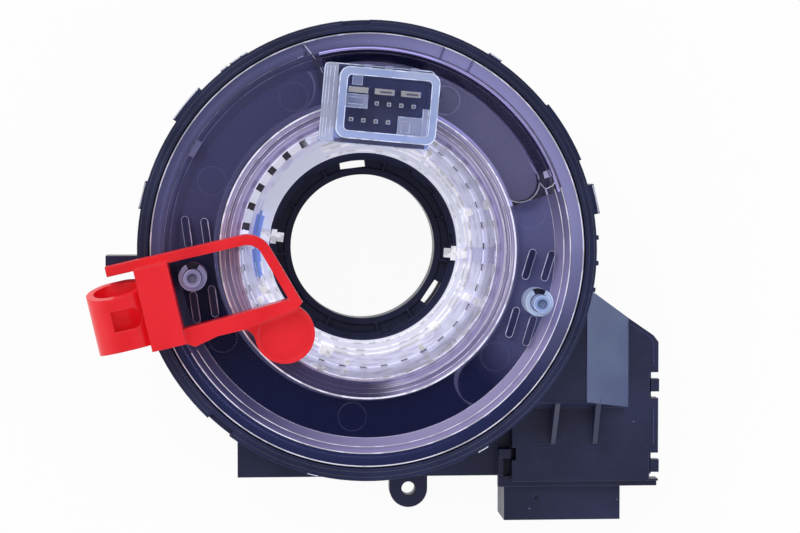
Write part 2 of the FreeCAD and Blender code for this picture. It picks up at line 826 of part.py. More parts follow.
def hub_sleeve():
    shell = turned("sleeve_shell", (
        ("bore_radius", "sleeve_low"),
        ("bore_lip", "sleeve_low"),
        ("bore_lip", "web_low"),
        ("sleeve_inner", "web_low"),
        ("sleeve_inner", "sleeve_low"),
        ("sleeve_outer", "sleeve_low"),
        ("sleeve_outer", "code_low - shoulder_skin"),
        ("shoulder_reach", "code_low - shoulder_skin"),
        ("shoulder_reach", "code_low"),
        ("sleeve_outer", "code_low"),
        ("sleeve_outer", "sleeve_top"),
        ("sleeve_inner", "sleeve_top"),
        ("sleeve_inner", "web_top"),
        ("bore_lip", "web_top"),
        ("bore_lip", "web_top + 0.6"),
        ("bore_radius", "web_top + 0.6"),
    ))
    fins = [
        radial_box(
            f"sleeve_fin_{i}", angle, "bore_lip - 0.2", "sleeve_inner + 0.2", "fin_width",
            "web_top - 0.2", "fin_height + 0.2",
        )
        for i, angle in enumerate(SLEEVE_FINS)
    ]
    windows = [
        radial_box(
            f"sleeve_window_{i}", angle, "window_start", "window_start + window_depth",
            "window_length", "web_low - 1", "web_top - web_low + 2",
        )
        for i, angle in enumerate(SLEEVE_WINDOWS)
    ]
    nicks = [
        radial_box(
            f"sleeve_nick_{i}", angle, "sleeve_inner - 0.3", "sleeve_inner + 0.8", "2.2",
            "sleeve_top - 1.5", "3",
        )
        for i, angle in enumerate(SLEEVE_NICKS)
    ]
    keep(cut("sleeve_cut", fuse("sleeve_whole", shell, *fins), *windows, *nicks), "hub_sleeve")


def code_ring():
    wheel = turned("code_wheel", (
        ("code_inner", "code_low"),
        ("code_skirt_inner", "code_low"),
        ("code_skirt_inner", "code_skirt_low"),
        ("code_skirt_outer", "code_skirt_low"),
        ("code_skirt_outer", "code_low"),
        ("code_outer", "code_low"),
        ("code_outer", CODE_TOP),
        ("code_inner", CODE_TOP),
    ))
    slot = wheel.newObject("PartDesign::Pocket", "code_slot")
    slot.Profile = outline(wheel, "code_slot_outline", "XY_Plane", (
        ("code_notch_inner", "-code_notch_width / 2"),
        ("code_skirt_outer", "-code_notch_width / 2"),
        ("code_skirt_outer", "code_notch_width / 2"),
        ("code_notch_inner", "code_notch_width / 2"),
    ))
    slot.Type = "ThroughAll"
    slot.Reversed = True
    pattern = wheel.newObject("PartDesign::PolarPattern", "code_slots")
    pattern.Originals = [slot]
    pattern.Axis = (slot.Profile[0], ["N_Axis"])
    pattern.Angle = 360
    bind(pattern, Occurrences="code_count")
    wheel.Tip = pattern
    windows = [
        radial_box(
            f"code_window_{i}", angle, "shoulder_reach + 0.2", "code_notch_inner - 0.6", "3.2",
            "code_low - 1", "code_skin + 2",
        )
        for i, angle in enumerate(CODE_WINDOWS)
    ]
    keep(cut("code_cut", wheel, *windows), "code_ring")


def ribbon_stiffener():
    band = ring_sector(
        "stiffener_band", "strip_radius - strip_skin / 2", "strip_radius + strip_skin / 2",
        CODE_TOP, "strip_height", "strip_start", "strip_sweep",
    )
    slot = radial_box(
        "stiffener_slot", HUB_HOOKS[0], "strip_radius - strip_skin", "strip_radius + strip_skin",
        "hook_width", f"{CODE_TOP} - 1", "hook_skin + 1",
    )
    keep(cut("stiffener_cut", band, slot), "ribbon_stiffener")


# ---- wheel socket ----

def in_socket(u, v):
    """A place in the socket's own frame: u along its length, v across it."""
    x = f"(socket_x + ({u}) * cos(socket_tilt) - ({v}) * sin(socket_tilt))"
    y = f"(socket_y + ({u}) * sin(socket_tilt) + ({v}) * cos(socket_tilt))"
    return x, y


def socket_box(name, u, v, low, length, width, height):
    x, y = in_socket(u, v)
    return box(name, x, y, low, length, width, height, "socket_tilt")


def socket_block(name, u, v, length, width, corner, low, height):
    """A block with rounded upright edges, centred on u, v in the socket's frame."""
    half_long, half_wide = f"({length}) / 2", f"({width}) / 2"
    long_way = socket_box(
        name + "_long", f"{u} - {half_long}", f"{v} - {half_wide} + {corner}", low,
        length, f"{width} - 2 * {corner}", height,
    )
    wide_way = socket_box(
        name + "_wide", f"{u} - {half_long} + {corner}", f"{v} - {half_wide}", low,
        f"{length} - 2 * {corner}", width, height,
    )
    rounds = []
    for i, (right, up) in enumerate(((-1, -1), (1, -1), (1, 1), (-1, 1))):
        x, y = in_socket(
            f"{u} + {right} * ({half_long} - {corner})", f"{v} + {up} * ({half_wide} - {corner})"
        )
        rounds.append(cylinder(f"{name}_round_{i}", corner, low, height, x, y))
    return fuse(name, long_way, wide_way, *rounds)


def wheel_socket():
    shell = socket_block(
        "socket_shell", "0", "0", "socket_length", "socket_width", "socket_round",
        "base_low", "socket_top - base_low",
    )
    base = socket_block(
        "socket_base", "base_shift", "0", "base_length", "base_width", "1.2",
        "base_low", "socket_floor - base_low",
    )
    leg = socket_box(
        "socket_leg", "base_shift - base_length / 2 + 2", "socket_width / 2 - 4.6", SECTOR_TOP,
        "base_length - 5", "4.4", f"base_low - {SECTOR_TOP} + 0.5",
    )
    apron = socket_box(
        "socket_apron", "base_shift - base_length / 2", "-base_width / 2", "base_low - 5",
        "base_length", "1.2", "5.5",
    )
    tabs = [
        socket_box(
            f"socket_tab_{i}", u, "socket_width / 2 - 0.3", "base_low + 5", "1.9", "1.3", "4.5"
        )
        for i, u in enumerate(SOCKET_TABS)
    ]
    spur = socket_box(
        "socket_spur", "socket_length / 2 - 0.3", "3.2", "base_low + 4", "1.3", "0.9", "5"
    )
    hollow = socket_block(
        "socket_hollow", "0", "0", "socket_length - 2 * socket_wall",
        "socket_width - 2 * socket_wall", "1.1", "socket_floor", "socket_top - socket_floor + 1",
    )
    left = "-socket_length / 2 + socket_wall - 0.2"
    low_side = "-socket_width / 2 + socket_wall - 0.2"
    cup = socket_box("socket_cup", left, "-0.9", "socket_floor", "5.3", "3.0", "7.4")
    cup_bay = socket_box("socket_cup_bay", f"{left} + 0.9", "-0.1", "socket_floor + 1", "3.4", "1.5", "8")
    stub = socket_box("socket_stub", f"{left} + 1.5", "4.2", "socket_floor", "2.2", "2.3", "8.2")
    step = socket_box(
        "socket_step", "2.9", low_side, "socket_floor", "socket_length / 2 - 2.9 - socket_wall + 0.2",
        "4.3", "6.4",
    )
    step_bay = socket_box(
        "socket_step_bay", "3.7", f"{low_side} + 0.9", "socket_floor + 1", "1.9", "2.4", "8"
    )
    ledge = socket_box(
        "socket_ledge", "socket_length / 2 - socket_wall - 1.2", low_side, "socket_floor", "1.4",
        "6.4", "8.6",
    )
    shelled = cut("socket_hollowed", fuse("socket_body", shell, base, leg, apron, spur, *tabs), hollow)
    furniture = cut("socket_furniture", fuse("socket_blocks", cup, stub, step, ledge), cup_bay, step_bay)
    keep(fuse("socket_fused", shelled, furniture), "wheel_socket")


def socket_pins():
    pins = []
    for row, (u, v) in enumerate((("pin_low_u", "pin_low_v"), ("pin_high_u", "pin_high_v"))):
        for i in range(4):
            pins.append(socket_box(
                f"socket_pin_{row}_{i}", f"{u} + {i} * pin_pitch - pin_side / 2",
                f"{v} - pin_side / 2", "socket_floor", "pin_side", "pin_side", "pin_top - socket_floor",
            ))
    for i in range(3):
        pins.append(socket_box(
            f"socket_blade_{i}", f"blade_u + {i} * blade_pitch - blade_length / 2",
            "blade_v - blade_width / 2", "socket_floor", "blade_length", "blade_width",
            "pin_top - 0.6 - socket_floor",
        ))
    keep(fuse("socket_pin_group", *pins), "socket_pins")


# ---- roller carrier and ribbons ----

def roller_carrier():
    plate = ring("carrier_plate", "carrier_inner", "carrier_outer", CARRIER_LOW, "carrier_skin")
    axles = []
    for i, angle in enumerate(ROLLER_ANGLES, 1):
        x, y = polar("roller_circle", angle)
        axles.append(cylinder(
            f"roller_axle_{i}", "axle_radius", CARRIER_LOW,
            "carrier_skin + roller_height + 2 * film_skin", x, y,
        ))
    keep(fuse("carrier_whole", plate, *axles), "roller_carrier")


def rollers():
    for i, angle in enumerate(ROLLER_ANGLES, 1):
        x, y = polar("roller_circle", angle)
        roller = turned(f"roller_turned_{i}", (
            ("axle_radius + axle_fit", "0"),
            ("roller_radius - 0.3", "0"),
            ("roller_radius", "0.3"),
            ("roller_radius", "roller_height - 0.3"),
            ("roller_radius - 0.3", "roller_height"),
            ("axle_radius + axle_fit", "roller_height"),
        ))
        keep(place(roller, x, y, f"{CARRIER_TOP} + film_skin"), f"roller_{i}")


def ribbons():
    """Flat cables: an outer coil clockwise, a U-turn round a roller, an inner coil back."""
    halves = round(2 * number("ribbon_turns"))
    drop = number("ribbon_pitch") / 2
    outer, inner = number("outer_coil"), number("inner_coil")
    steps = [(outer + drop * (halves - i - 0.5), -180) for i in range(halves)]
    steps.append(((outer - inner) / 2, -180))
    steps += [(inner - drop * (i + 0.5), 180) for i in range(halves)]
    begin = number(ribbon_end_angle(0))
    reach = outer + drop * halves
    start = (reach * math.cos(math.radians(begin)), reach * math.sin(math.radians(begin)), 0)
    band = strip(start, begin - 90, steps, number("ribbon_skin"), number("ribbon_height - running_gap"))
    for i in range(2):
        ribbon = solid_feature(f"ribbon_band_{i}", band)
        keep(place(ribbon, z=f"{CARRIER_TOP} + running_gap", turn=f"coil_spacing * {i}"), f"ribbon_{i + 1}")


# ---- sensor housing, rear cover and module ----

def module_corners(inset, left):
    """The module's outline, moved inward by an inset, and closed along a left edge."""
    fall = f"1.215 * ({inset})"
    return (
        (left, f"lid_bottom + ({inset})"),
        (f"lid_right - ({inset})", f"lid_bottom + ({inset})"),
        (f"lid_right - ({inset})", f"lid_slope_y - lid_corner - 0.5 * ({inset})"),
        (f"lid_slope_x - 0.6 * ({inset})", f"lid_slope_y - {fall} + 0.6 * ({inset}) * lid_slope_rise"),
        (left, f"lid_slope_y - {fall} + (lid_slope_x - ({left})) * lid_slope_rise"),
    )


def footprint(name, inset, low, height, radius, left):
    """The plan shape of the rear half: a disc, the block below it and the module beside it."""
    disc = cylinder(name + "_disc", radius, low, height)
    block = box(
        name + "_block", f"block_left + ({inset})", f"block_bottom + ({inset})", low,
        f"block_right - block_left - 2 * ({inset})", f"-block_bottom - ({inset})", height,
    )
    corners = module_corners(f"lid_wall + lid_gap + ({inset})", left)
    return fuse(name, disc, block, padded(name + "_module", corners, low, height))


def latches(name, reach, spare, low, height):
    """The two catches on the module's right edge, or the notches that they sit in."""
    return [
        box(
            f"{name}_{i}", f"lid_right - latch_depth + {reach}",
            f"latch_y - latch_pitch * {i} - latch_length / 2 + {spare}", low,
            f"latch_depth + 0.5 - 2 * {reach}", f"latch_length - 2 * {spare}", height,
        )
        for i in range(2)
    ]


def sensor_housing():
    box_inset = "lid_wall + lid_gap"
    low_height = "(floor_low - cover_skin)"
    ring_edge = "ring_radius + ring_clear"
    body = footprint("housing_body", "0", "cover_skin", low_height, "housing_radius", "floor_hole - 1")
    rise = cut(
        "housing_rise",
        padded(
            "rise_walls", module_corners(box_inset, f"lid_left + {box_inset}"),
            "floor_low", f"{MODULE_RISE} - floor_low",
        ),
        cylinder("rise_clear", ring_edge, "floor_low - 1", f"{MODULE_RISE} - floor_low + 2"),
    )
    ear = cylinder("housing_ear", "ear_radius", "cover_skin", "ear_skin", "ear_x", "ear_y")
    neck = box(
        "housing_neck", "ear_x - ear_radius", "ear_y", "cover_skin", "2 * ear_radius",
        "block_bottom - ear_y + 0.5", "ear_skin",
    )
    catches = latches("housing_catch", "0.3", "1.6", f"{MODULE_RISE} - 0.5", "lid_skin + 0.5")
    hook = box(
        "housing_hook", "lip_left", "lid_bottom + 5.6", "floor_low - 0.5",
        "lid_left - lid_gap - lip_left", "2.2", "module_top - floor_low",
    )
    brace = box(
        "housing_brace", "lip_left", "block_bottom + lid_gap", "floor_low - 0.5", "1.2", "5.2",
        "module_top - floor_low - 1",
    )
    low_hollow = footprint(
        "housing_hollow", "housing_wall", "cover_skin - 1", f"{low_height} - deck_skin + 1",
        "housing_radius - housing_wall", "floor_hole - 1",
    )
    high_inset = f"{box_inset} + housing_wall"
    high_hollow = cut(
        "module_hollow",
        padded(
            "module_well", module_corners(high_inset, f"lid_left + {high_inset}"),
            "floor_low - deck_skin - 1", f"{MODULE_RISE} - floor_low + deck_skin + 2",
        ),
        cylinder("well_clear", f"{ring_edge} + housing_wall", "cover_skin", "module_top"),
    )
    eye = cylinder("housing_eye", "floor_hole", "floor_low - deck_skin - 1", "deck_skin + 2")
    screw = cylinder("ear_bore", "ear_hole", "cover_skin - 1", "ear_skin + 2", "ear_x", "ear_y")
    port = box(
        "plug_port", "plug_left", "plug_end", "plug_low", "plug_right - plug_left",
        "plug_back - plug_end", "plug_high - plug_low",
    )
    whole = fuse("housing_whole", body, rise, ear, neck, hook, brace, *catches)
    keep(cut("housing_cut", whole, low_hollow, high_hollow, eye, screw, port), "sensor_housing")


def rear_cover():
    plate = footprint("cover_plate", "0", "0", "cover_skin", "housing_radius", "floor_hole - 1")
    collar = cylinder("cover_collar", "rear_bore + collar_wall", "0", "collar_top")
    bore = cylinder("cover_bore", "rear_bore", "-1", "collar_top + 2")
    rim = "housing_radius - housing_wall - lid_gap"
    rib = ring("cover_rib", f"{rim} - rib_wall", rim, "cover_skin - 0.2", "rib_rise + 0.2")
    gap = box(
        "cover_rib_gap", "-board_outer", "-housing_radius", "cover_skin",
        "2 * board_outer", "housing_radius - 16", "rib_rise + 1",
    )
    spots = [polar("pillar_circle", angle) for angle in PILLAR_ANGLES]
    spots.append(("board_right - 5", "board_bottom + 5"))
    pillars = [
        cylinder(
            f"board_pillar_{i}", "pillar_radius", "cover_skin - 0.2", "board_low - cover_skin + 0.2", x, y
        )
        for i, (x, y) in enumerate(spots)
    ]
    locating = cut("cover_rib_open", rib, gap)
    keep(cut("cover_cut", fuse("cover_whole", plate, collar, locating, *pillars), bore), "rear_cover")


def module_lid():
    ring_clear = cylinder("lid_clear", "ring_radius + ring_clear", "0", "rim_top")
    low = "(module_top - lid_skin - lid_skirt)"
    plate = padded("lid_plate", module_corners("0", "lid_left"), low, "lid_skin + lid_skirt")
    under = padded(
        "lid_under", module_corners("lid_wall", "lid_left + lid_wall"), f"{low} - 1", "lid_skirt + 1"
    )
    lip = box(
        "lid_lip", "lip_left", "lid_bottom - lip_reach", low, "lid_right - lip_left",
        "lip_reach + lid_wall", "lip_skin",
    )
    block = common(
        "lid_block",
        wedge("block_form", "0", f"{MODULE_RISE} + lid_skin / 2"),
        padded("block_plan", module_corners("0", "block_left"), "module_top - lid_skin", "rim_top"),
    )
    hollow = cut(
        "block_hollow",
        common(
            "block_inside",
            wedge("block_core", "block_skin", f"{low} - 1"),
            padded("core_plan", module_corners("block_skin", "block_left"), f"{low} - 1", "rim_top"),
        ),
        cylinder("core_clear", "ring_radius + ring_clear + block_skin", "0", "rim_top"),
    )
    gussets = [
        padded(
            f"block_gusset_{i}",
            (
                ("block_edge_y + 0.4", "module_top - 0.5"),
                ("block_edge_y + 0.4", top),
                ("block_edge_y - 0.3", top),
                ("block_edge_y - gusset_reach", "module_top + 0.4"),
                ("block_edge_y - gusset_reach", "module_top - 0.5"),
            ),
            f"gusset_x + gusset_pitch * {i}", "gusset_skin", "YZ_Plane",
        )
        for i, top in enumerate(("block_top - 0.2", "block_top - 3.0"))
    ]
    notches = latches("lid_notch", "0", "0", f"{low} - 1", "lid_skin + lid_skirt + 2")
    seat = box(
        "lid_corner_cut", "lid_left - 1", "lid_bottom + 5.4 - lid_gap", f"{low} - 1",
        "1.9", "2.6 + 2 * lid_gap", "lid_skin + lid_skirt + 2",
    )
    whole = fuse("lid_whole", cut("lid_shell", plate, under), lip, block, *gussets)
    keep(cut("lid_cut", whole, hollow, ring_clear, seat, *notches), "module_lid")


def wedge(name, inset, low):
    """The raised block: upright on the left and above, sloping on the right and below."""
    form = DOC.addObject("Part::Wedge", name)
    rise = "(block_top - module_top)"
    deep = f"(module_top - ({low}))"
    lean_x = f"(block_foot_x - block_edge_x) / {rise} * {deep}"
    lean_y = f"(block_edge_y - block_foot_y) / {rise} * {deep}"
    bind(
        form,
        Ymin=low, Ymax=f"block_top - ({inset})",
        Xmin="block_left", Xmax=f"block_foot_x + {lean_x} - ({inset})",
        X2min="block_left", X2max=f"block_edge_x - ({inset}) * 0.4",
        Zmin="8", Zmax=f"-block_foot_y + {lean_y} - ({inset})",
        Z2min="8", Z2max=f"-block_edge_y - ({inset})",
    )
    form.Placement = Placement(Vector(), Rotation(Vector(1, 0, 0), 90))
    return form


def pin_bars():
    """The plug's level pins, in two rows of six."""
    middle_x = "(plug_left + plug_right) / 2"
    middle_z = "(plug_low + plug_high) / 2"
    return [
        box(
            f"plug_bar_{row}_{i}", f"{middle_x} + plug_pin_pitch * {i - 2.5} - plug_pin_side / 2",
            "plug_pin_tip", f"{middle_z} + plug_pin_rows * {row - 0.5} - plug_pin_side / 2",
            "plug_pin_side", f"plug_pin_foot + plug_pin_step * {row} - plug_pin_tip", "plug_pin_side",
        )
        for row in range(2) for i in range(6)
    ]


def plug_header():
    shell = box(
        "plug_shell", "plug_left", "plug_end", "plug_low", "plug_right - plug_left",
        "plug_back - plug_end", "plug_high - plug_low",
    )
    hollow = box(
        "plug_hollow", "plug_left + plug_wall", "plug_end - 1", "plug_low + plug_wall",
        "plug_right - plug_left - 2 * plug_wall", "plug_depth + 1",
        "plug_high - plug_low - 2 * plug_wall",
    )
    keys = [
        box(
            f"plug_key_{i}", f"(plug_left + plug_right) / 2 + {offset} - plug_key / 2", "plug_end + 1.5",
            "plug_low + plug_wall - 0.2", "plug_key", "plug_depth - 1.3", "plug_key + 0.2",
        )
        for i, offset in enumerate((-8.5, 7.0))
    ]
    dimple = cylinder("plug_dimple", "0.6", "plug_high - 0.3", "1", "plug_left + 7.8", "plug_end + 5.5")
    open_shell = fuse("plug_open", cut("plug_cup", shell, hollow, dimple), *keys)
    keep(cut("plug_cut", open_shell, *pin_bars()), "plug_header")


def plug_pins():
    middle_x = "(plug_left + plug_right) / 2"
    middle_z = "(plug_low + plug_high) / 2"
    feet = [
        box(
            f"plug_foot_{row}_{i}", f"{middle_x} + plug_pin_pitch * {i - 2.5} - plug_pin_side / 2",
            f"plug_pin_foot + plug_pin_step * {row} - plug_pin_side", BOARD_TOP, "plug_pin_side",
            "plug_pin_side",
            f"{middle_z} + plug_pin_rows * {row - 0.5} + plug_pin_side / 2 - {BOARD_TOP}",
        )
        for row in range(2) for i in range(6)
    ]
    keep(fuse("plug_pin_group", *pin_bars(), *feet), "plug_pins")


def circuit_board():
    loop = cylinder("board_loop", "board_outer", "board_low", "board_skin")
    wing = box(
        "board_wing", "board_left", "board_bottom", "board_low", "board_right - board_left",
        "board_edge - board_bottom", "board_skin",
    )
    eye = cylinder("board_eye", "board_inner", "board_low - 1", "board_skin + 2")
    keep(cut("board_cut", fuse("board_whole", loop, wing), eye), "circuit_board")


def light_barriers():
    for i, angle in enumerate(BARRIER_ANGLES, 1):
        base = radial_box(
            f"barrier_base_{i}", angle, "barrier_inner", "barrier_outer", "barrier_width",
            BOARD_TOP, "barrier_base",
        )
        prongs = [
            radial_box(
                f"barrier_prong_{i}_{side}", angle, inner, outer, "barrier_width", BOARD_TOP,
                f"barrier_top - {BOARD_TOP}",
            )
            for side, (inner, outer) in enumerate((
                ("barrier_inner", "code_skirt_inner - barrier_gap"),
                ("code_skirt_outer + barrier_gap", "barrier_outer"),
            ))
        ]
        keep(fuse(f"barrier_fork_{i}", base, *prongs), f"light_barrier_{i}")


# ---- transport lock ----

def in_lock(u, v):
    """A place in the lock's own frame: u outward along its angle, v across it."""
    x = f"(({u}) * cos(lock_angle) - ({v}) * sin(lock_angle))"
    y = f"(({u}) * sin(lock_angle) + ({v}) * cos(lock_angle))"
    return x, y


def lock_box(name, u, v, low, length, width, height):
    x, y = in_lock(u, v)
    return box(name, x, y, low, length, width, height, "lock_angle")


def lock_prism(name, corners, low, height):
    return place(padded(name, corners, low, height), z=low, turn="lock_angle")


def lock_disc(name, radius, low, height):
    x, y = in_lock("paddle_u", "paddle_v")
    return cylinder(name, radius, low, height, x, y)


def grip_loop(name, inset):
    """A level tube with round inner and outer ends, as a solid."""
    radius = f"(grip_height / 2 - ({inset}))"
    middle = "(rim_top + grip_height / 2)"
    near = "(grip_inner + grip_height / 2)"
    far = "(grip_outer - grip_height / 2)"
    start = f"(grip_side_a - ({inset}))"
    long = f"(grip_side_b - grip_side_a + 2 * ({inset}))"
    ends = []
    for i, u in enumerate((near, far)):
        x, y = in_lock(u, start)
        ends.append(lying(f"{name}_end_{i}", radius, x, y, middle, long, "lock_angle + 90"))
    flat = lock_box(
        name + "_flat", near, start, f"{middle} - {radius}", f"{far} - {near}", long, f"2 * {radius}"
    )
    return fuse(name, flat, *ends)


def lock_arm():
    """The upper arm: a straight run, a wide bend and a leg that leans towards the paddle."""
    bend, lean = number("arm_bend"), number("arm_lean")
    corner = bend * math.tan(math.radians(lean) / 2)
    steps = (
        (number("arm_tip - arm_corner") - corner, 0),
        (bend, -lean),
        (number("arm_leg") - corner, 0),
    )
    start = (number("arm_tip"), number("arm_side_a + arm_width / 2"), 0)
    band = strip(start, 180, steps, number("arm_width"), number("lock_arm"))
    return place(solid_feature("lock_upper_arm", band), z="rim_top", turn="lock_angle")


def paddle_neck():
    """The hollow curve between the limb and the paddle's round."""
    fill = lock_prism("neck_fill", (
        ("paddle_u + paddle_radius - 2.1", "paddle_v - 4.8"),
        ("paddle_u + paddle_radius + neck_round", "paddle_v - 0.25 - neck_round"),
        ("paddle_u + paddle_radius - 0.05", "paddle_v - 0.14"),
    ), "rim_top", "paddle_height")
    x, y = in_lock("paddle_u + paddle_radius + neck_round", "paddle_v - 0.2")
    hollow = cylinder("neck_hollow", "neck_round + 0.02", "rim_top - 1", "paddle_height + 2", x, y)
    return cut("lock_neck", fill, hollow)


def transport_lock():
    limb = lock_prism("lock_limb", (
        ("bar_inner + 0.5", "7.3"),
        ("bar_inner + 0.5", "bar_side_b"),
        ("bar_inner - 1.7", "11.8"),
        ("bar_inner - 7.2", "10.6"),
        ("arm_end + 12", "10.6"),
        ("arm_end - 0.8", "8.8"),
        ("arm_end - arm_width", "7.5"),
        ("arm_end + 0.3", "6.2"),
        ("arm_end + 16.4", "7.0"),
    ), "rim_top", "lock_arm")
    bar = lock_box(
        "lock_bar", "bar_inner", "arm_side_b - 0.4", "rim_top", "grip_inner + grip_skin - bar_inner",
        "bar_side_b - arm_side_b + 0.4", "grip_height",
    )
    edge = (("10", "7.12"), ("10", "-2"), ("38", "-2"), ("38", "11.19"))
    paddle = cut(
        "lock_paddle",
        lock_disc("paddle_disc", "paddle_radius", "rim_top", "paddle_height"),
        lock_prism("paddle_edge", edge, "rim_top - 1", "paddle_height + 2"),
    )
    dish = cut(
        "paddle_dish",
        lock_disc(
            "dish_disc", "paddle_radius - paddle_rim", "rim_top + paddle_skin", "paddle_height"
        ),
        lock_prism(
            "dish_edge", [(u, f"{v} + paddle_rim") for u, v in edge], "rim_top", "paddle_height + 4"
        ),
    )
    bevel_x, bevel_y = in_lock("grip_inner", "0")
    bevel = padded("grip_slant", (
        ("grip_side_a - 1", "rim_top - 1"),
        ("grip_side_a - 0.3", "rim_top - 1"),
        ("grip_side_a + grip_bevel", "rim_top + grip_height + 1"),
        ("grip_side_a - 1", "rim_top + grip_height + 1"),
    ), "0", "grip_outer - grip_inner + 1", "YZ_Plane")
    place(bevel, bevel_x, bevel_y, turn="lock_angle")
    loop = cut("grip_bevelled", grip_loop("grip_outside", "0"), bevel)
    eye = lock_box(
        "lock_eye", "eye_u", "eye_v", "rim_top + grip_height / 2", "eye_length", "eye_width",
        "grip_height",
    )
    eye_x, eye_y = in_lock("eye_u", "eye_v + eye_width / 2")
    eye_round = cylinder(
        "lock_eye_round", "eye_width / 2", "rim_top + grip_height / 2", "grip_height", eye_x, eye_y
    )
    frame = fuse("lock_frame", cut("paddle_open", paddle, dish), lock_arm(), paddle_neck(), limb, bar, loop)
    inside = grip_loop("grip_inside", "grip_skin")
    keep(cut("lock_cut", frame, inside, eye, eye_round), "transport_lock")


def main():
    fill_sheet()
    for build in (
        stator_housing, outer_terminals, slide_film, sensor_housing, rear_cover, module_lid,
        plug_header, plug_pins, circuit_board, light_barriers, rotor_cover, inner_terminals,
        hub_sleeve, code_ring, ribbon_stiffener, wheel_socket, socket_pins, roller_carrier,
        rollers, ribbons, transport_lock,
    ):
        build()
    DOC.recompute()
    failed = [o.Name for o in DOC.Objects if "Invalid" in o.State or "Error" in o.State]
    failed += [o.Label for o in PARTS if o.Shape.isNull() or not o.Shape.isValid()]
    if failed:
        raise SystemExit(f"not built: {', '.join(failed)}")
    os.makedirs("parts", exist_ok=True)
    for thing in PARTS:
        thing.Shape.exportStep(f"parts/{thing.Label}.step")
        frame = thing.Shape.BoundBox
        print(
            f"{thing.Label:18} solids {len(thing.Shape.Solids):2} volume {thing.Shape.Volume:10.1f}"
            f"  x {frame.XMin:7.2f} {frame.XMax:7.2f}  y {frame.YMin:7.2f} {frame.YMax:7.2f}"
            f"  z {frame.ZMin:6.2f} {frame.ZMax:6.2f}"
        )


main()
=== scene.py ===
import math

import bmesh
import bpy
from mathutils import Matrix, Vector


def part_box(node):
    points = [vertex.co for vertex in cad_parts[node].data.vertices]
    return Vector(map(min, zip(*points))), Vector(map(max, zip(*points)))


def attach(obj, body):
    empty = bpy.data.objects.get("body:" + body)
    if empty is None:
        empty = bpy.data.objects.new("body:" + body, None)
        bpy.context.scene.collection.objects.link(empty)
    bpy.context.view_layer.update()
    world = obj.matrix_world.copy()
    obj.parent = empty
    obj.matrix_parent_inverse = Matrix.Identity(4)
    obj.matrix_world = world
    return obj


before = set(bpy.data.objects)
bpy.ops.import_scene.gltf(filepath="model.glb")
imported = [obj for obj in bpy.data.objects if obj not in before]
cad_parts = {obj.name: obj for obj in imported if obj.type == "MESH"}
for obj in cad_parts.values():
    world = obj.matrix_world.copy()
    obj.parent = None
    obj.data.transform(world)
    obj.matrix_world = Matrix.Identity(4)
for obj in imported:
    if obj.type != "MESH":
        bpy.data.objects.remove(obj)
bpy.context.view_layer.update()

bl_info = {
    "name": "Steering clock spring",
    "version": (1, 0, 0),
    "blender": (4, 5, 0),
    "location": "3D View > Sidebar > Clock spring",
    "description": "Finishes, moulded detail, floor and lights for a steering clock spring",
    "category": "Add Mesh",
}

MM = 0.001

# Lengths below are in millimetres and angles in degrees. Heights follow from the frame.
RIM_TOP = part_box("stator_housing")[1].z / MM
DISC_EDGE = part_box("rotor_cover")[1].x / MM
CODE_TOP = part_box("code_ring")[1].z / MM
SOCKET_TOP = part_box("wheel_socket")[1].z / MM
LID_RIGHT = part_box("module_lid")[1].x / MM
DISC_TOP, FLAT_TOP, WELL_TOP = RIM_TOP - 0.8, RIM_TOP - 2.8, RIM_TOP - 5.8
STEP_TOP = DISC_TOP - 0.9
SOCKET_FLOOR, BLADE_TOP, PIN_TOP = RIM_TOP + 1.6, RIM_TOP + 9.0, RIM_TOP + 9.6
COLLAR_TOP, PEG_TOP, NOTCH_DEPTH = FLAT_TOP + 9.0, FLAT_TOP + 14.0, 3.0
COLLAR, PEG, DIMPLE, PEG_FOOT = 3.1, 1.9, 1.1, 2.12
COLLAR_ARC = (118.0, 304.0)
LIP_EDGE, SLOPE_FOOT, SLOPE_STEP, SLOPE_EDGE = 33.9, 43.1, 45.1, 46.6
SECTOR_START, SECTOR_END, NOSE_CIRCLE = 24.0, 104.0, 38.25
OUTSIDE = (SECTOR_END, 273.0)
POST_CIRCLE, LEFT_POST, RIGHT_POST = 40.2, 188.0, -16.8
RIB_CIRCLES, RIB_LENGTH, RIB_WIDTH, RIB_TOP = (37.1, 41.5), 7.2, 1.6, FLAT_TOP + 1.8
SOCKET_MIDDLE, SOCKET_TURN = (3.6, 32.7), -5.1
LID_LOW, LID_FACE, BLOCK_FACE = -55.6, 22.0, 31.0
LIFT, SKIN, POST_SKIN = 0.01, 0.03, 0.04
EDGE_ANGLE = 38.0

ROLLERS = tuple(f"roller_{i}" for i in range(1, 8))
RIM_LINES, RIM_ARCS = (50.7, 51.9), ((97.0, 128.5), (233.5, 215.5))
HOOKS = (173.0, -4.0)
HUB_BAND, STRIP_BAND, STRIP_ARCS = (22.5, 28.6), (24.5, 26.4), ((162.5, 14.0), (181.0, 14.5))
# Radius and half width, and the start and sweep that they share.
LEDGES, LEDGE_ARC = ((23.0, 0.2), (24.6, 0.22), (25.7, 0.3)), (-172.0, 285.0)
# The angle of each pair of ribs, and of the post that they stand by.
RIBS = ((174.0, LEFT_POST), (198.0, LEFT_POST), (-5.0, RIGHT_POST), (-26.5, RIGHT_POST))
# Radius, height, start and sweep.
TAB_LINES = (
    (53.25, RIM_TOP, 136.3, 9.4), (52.7, RIM_TOP, 123.4, 2.8), (52.7, RIM_TOP, 127.5, 1.6),
    (52.7, RIM_TOP, 121.6, 1.4), (52.8, RIM_TOP, 55.1, 3.0),
    (52.8, RIM_TOP - 0.4, 162.8, 6.4), (53.6, RIM_TOP - 0.6, 9.2, 7.0),
    (52.8, RIM_TOP, 254.6, 2.8), (52.8, RIM_TOP, 298.6, 2.8),
)
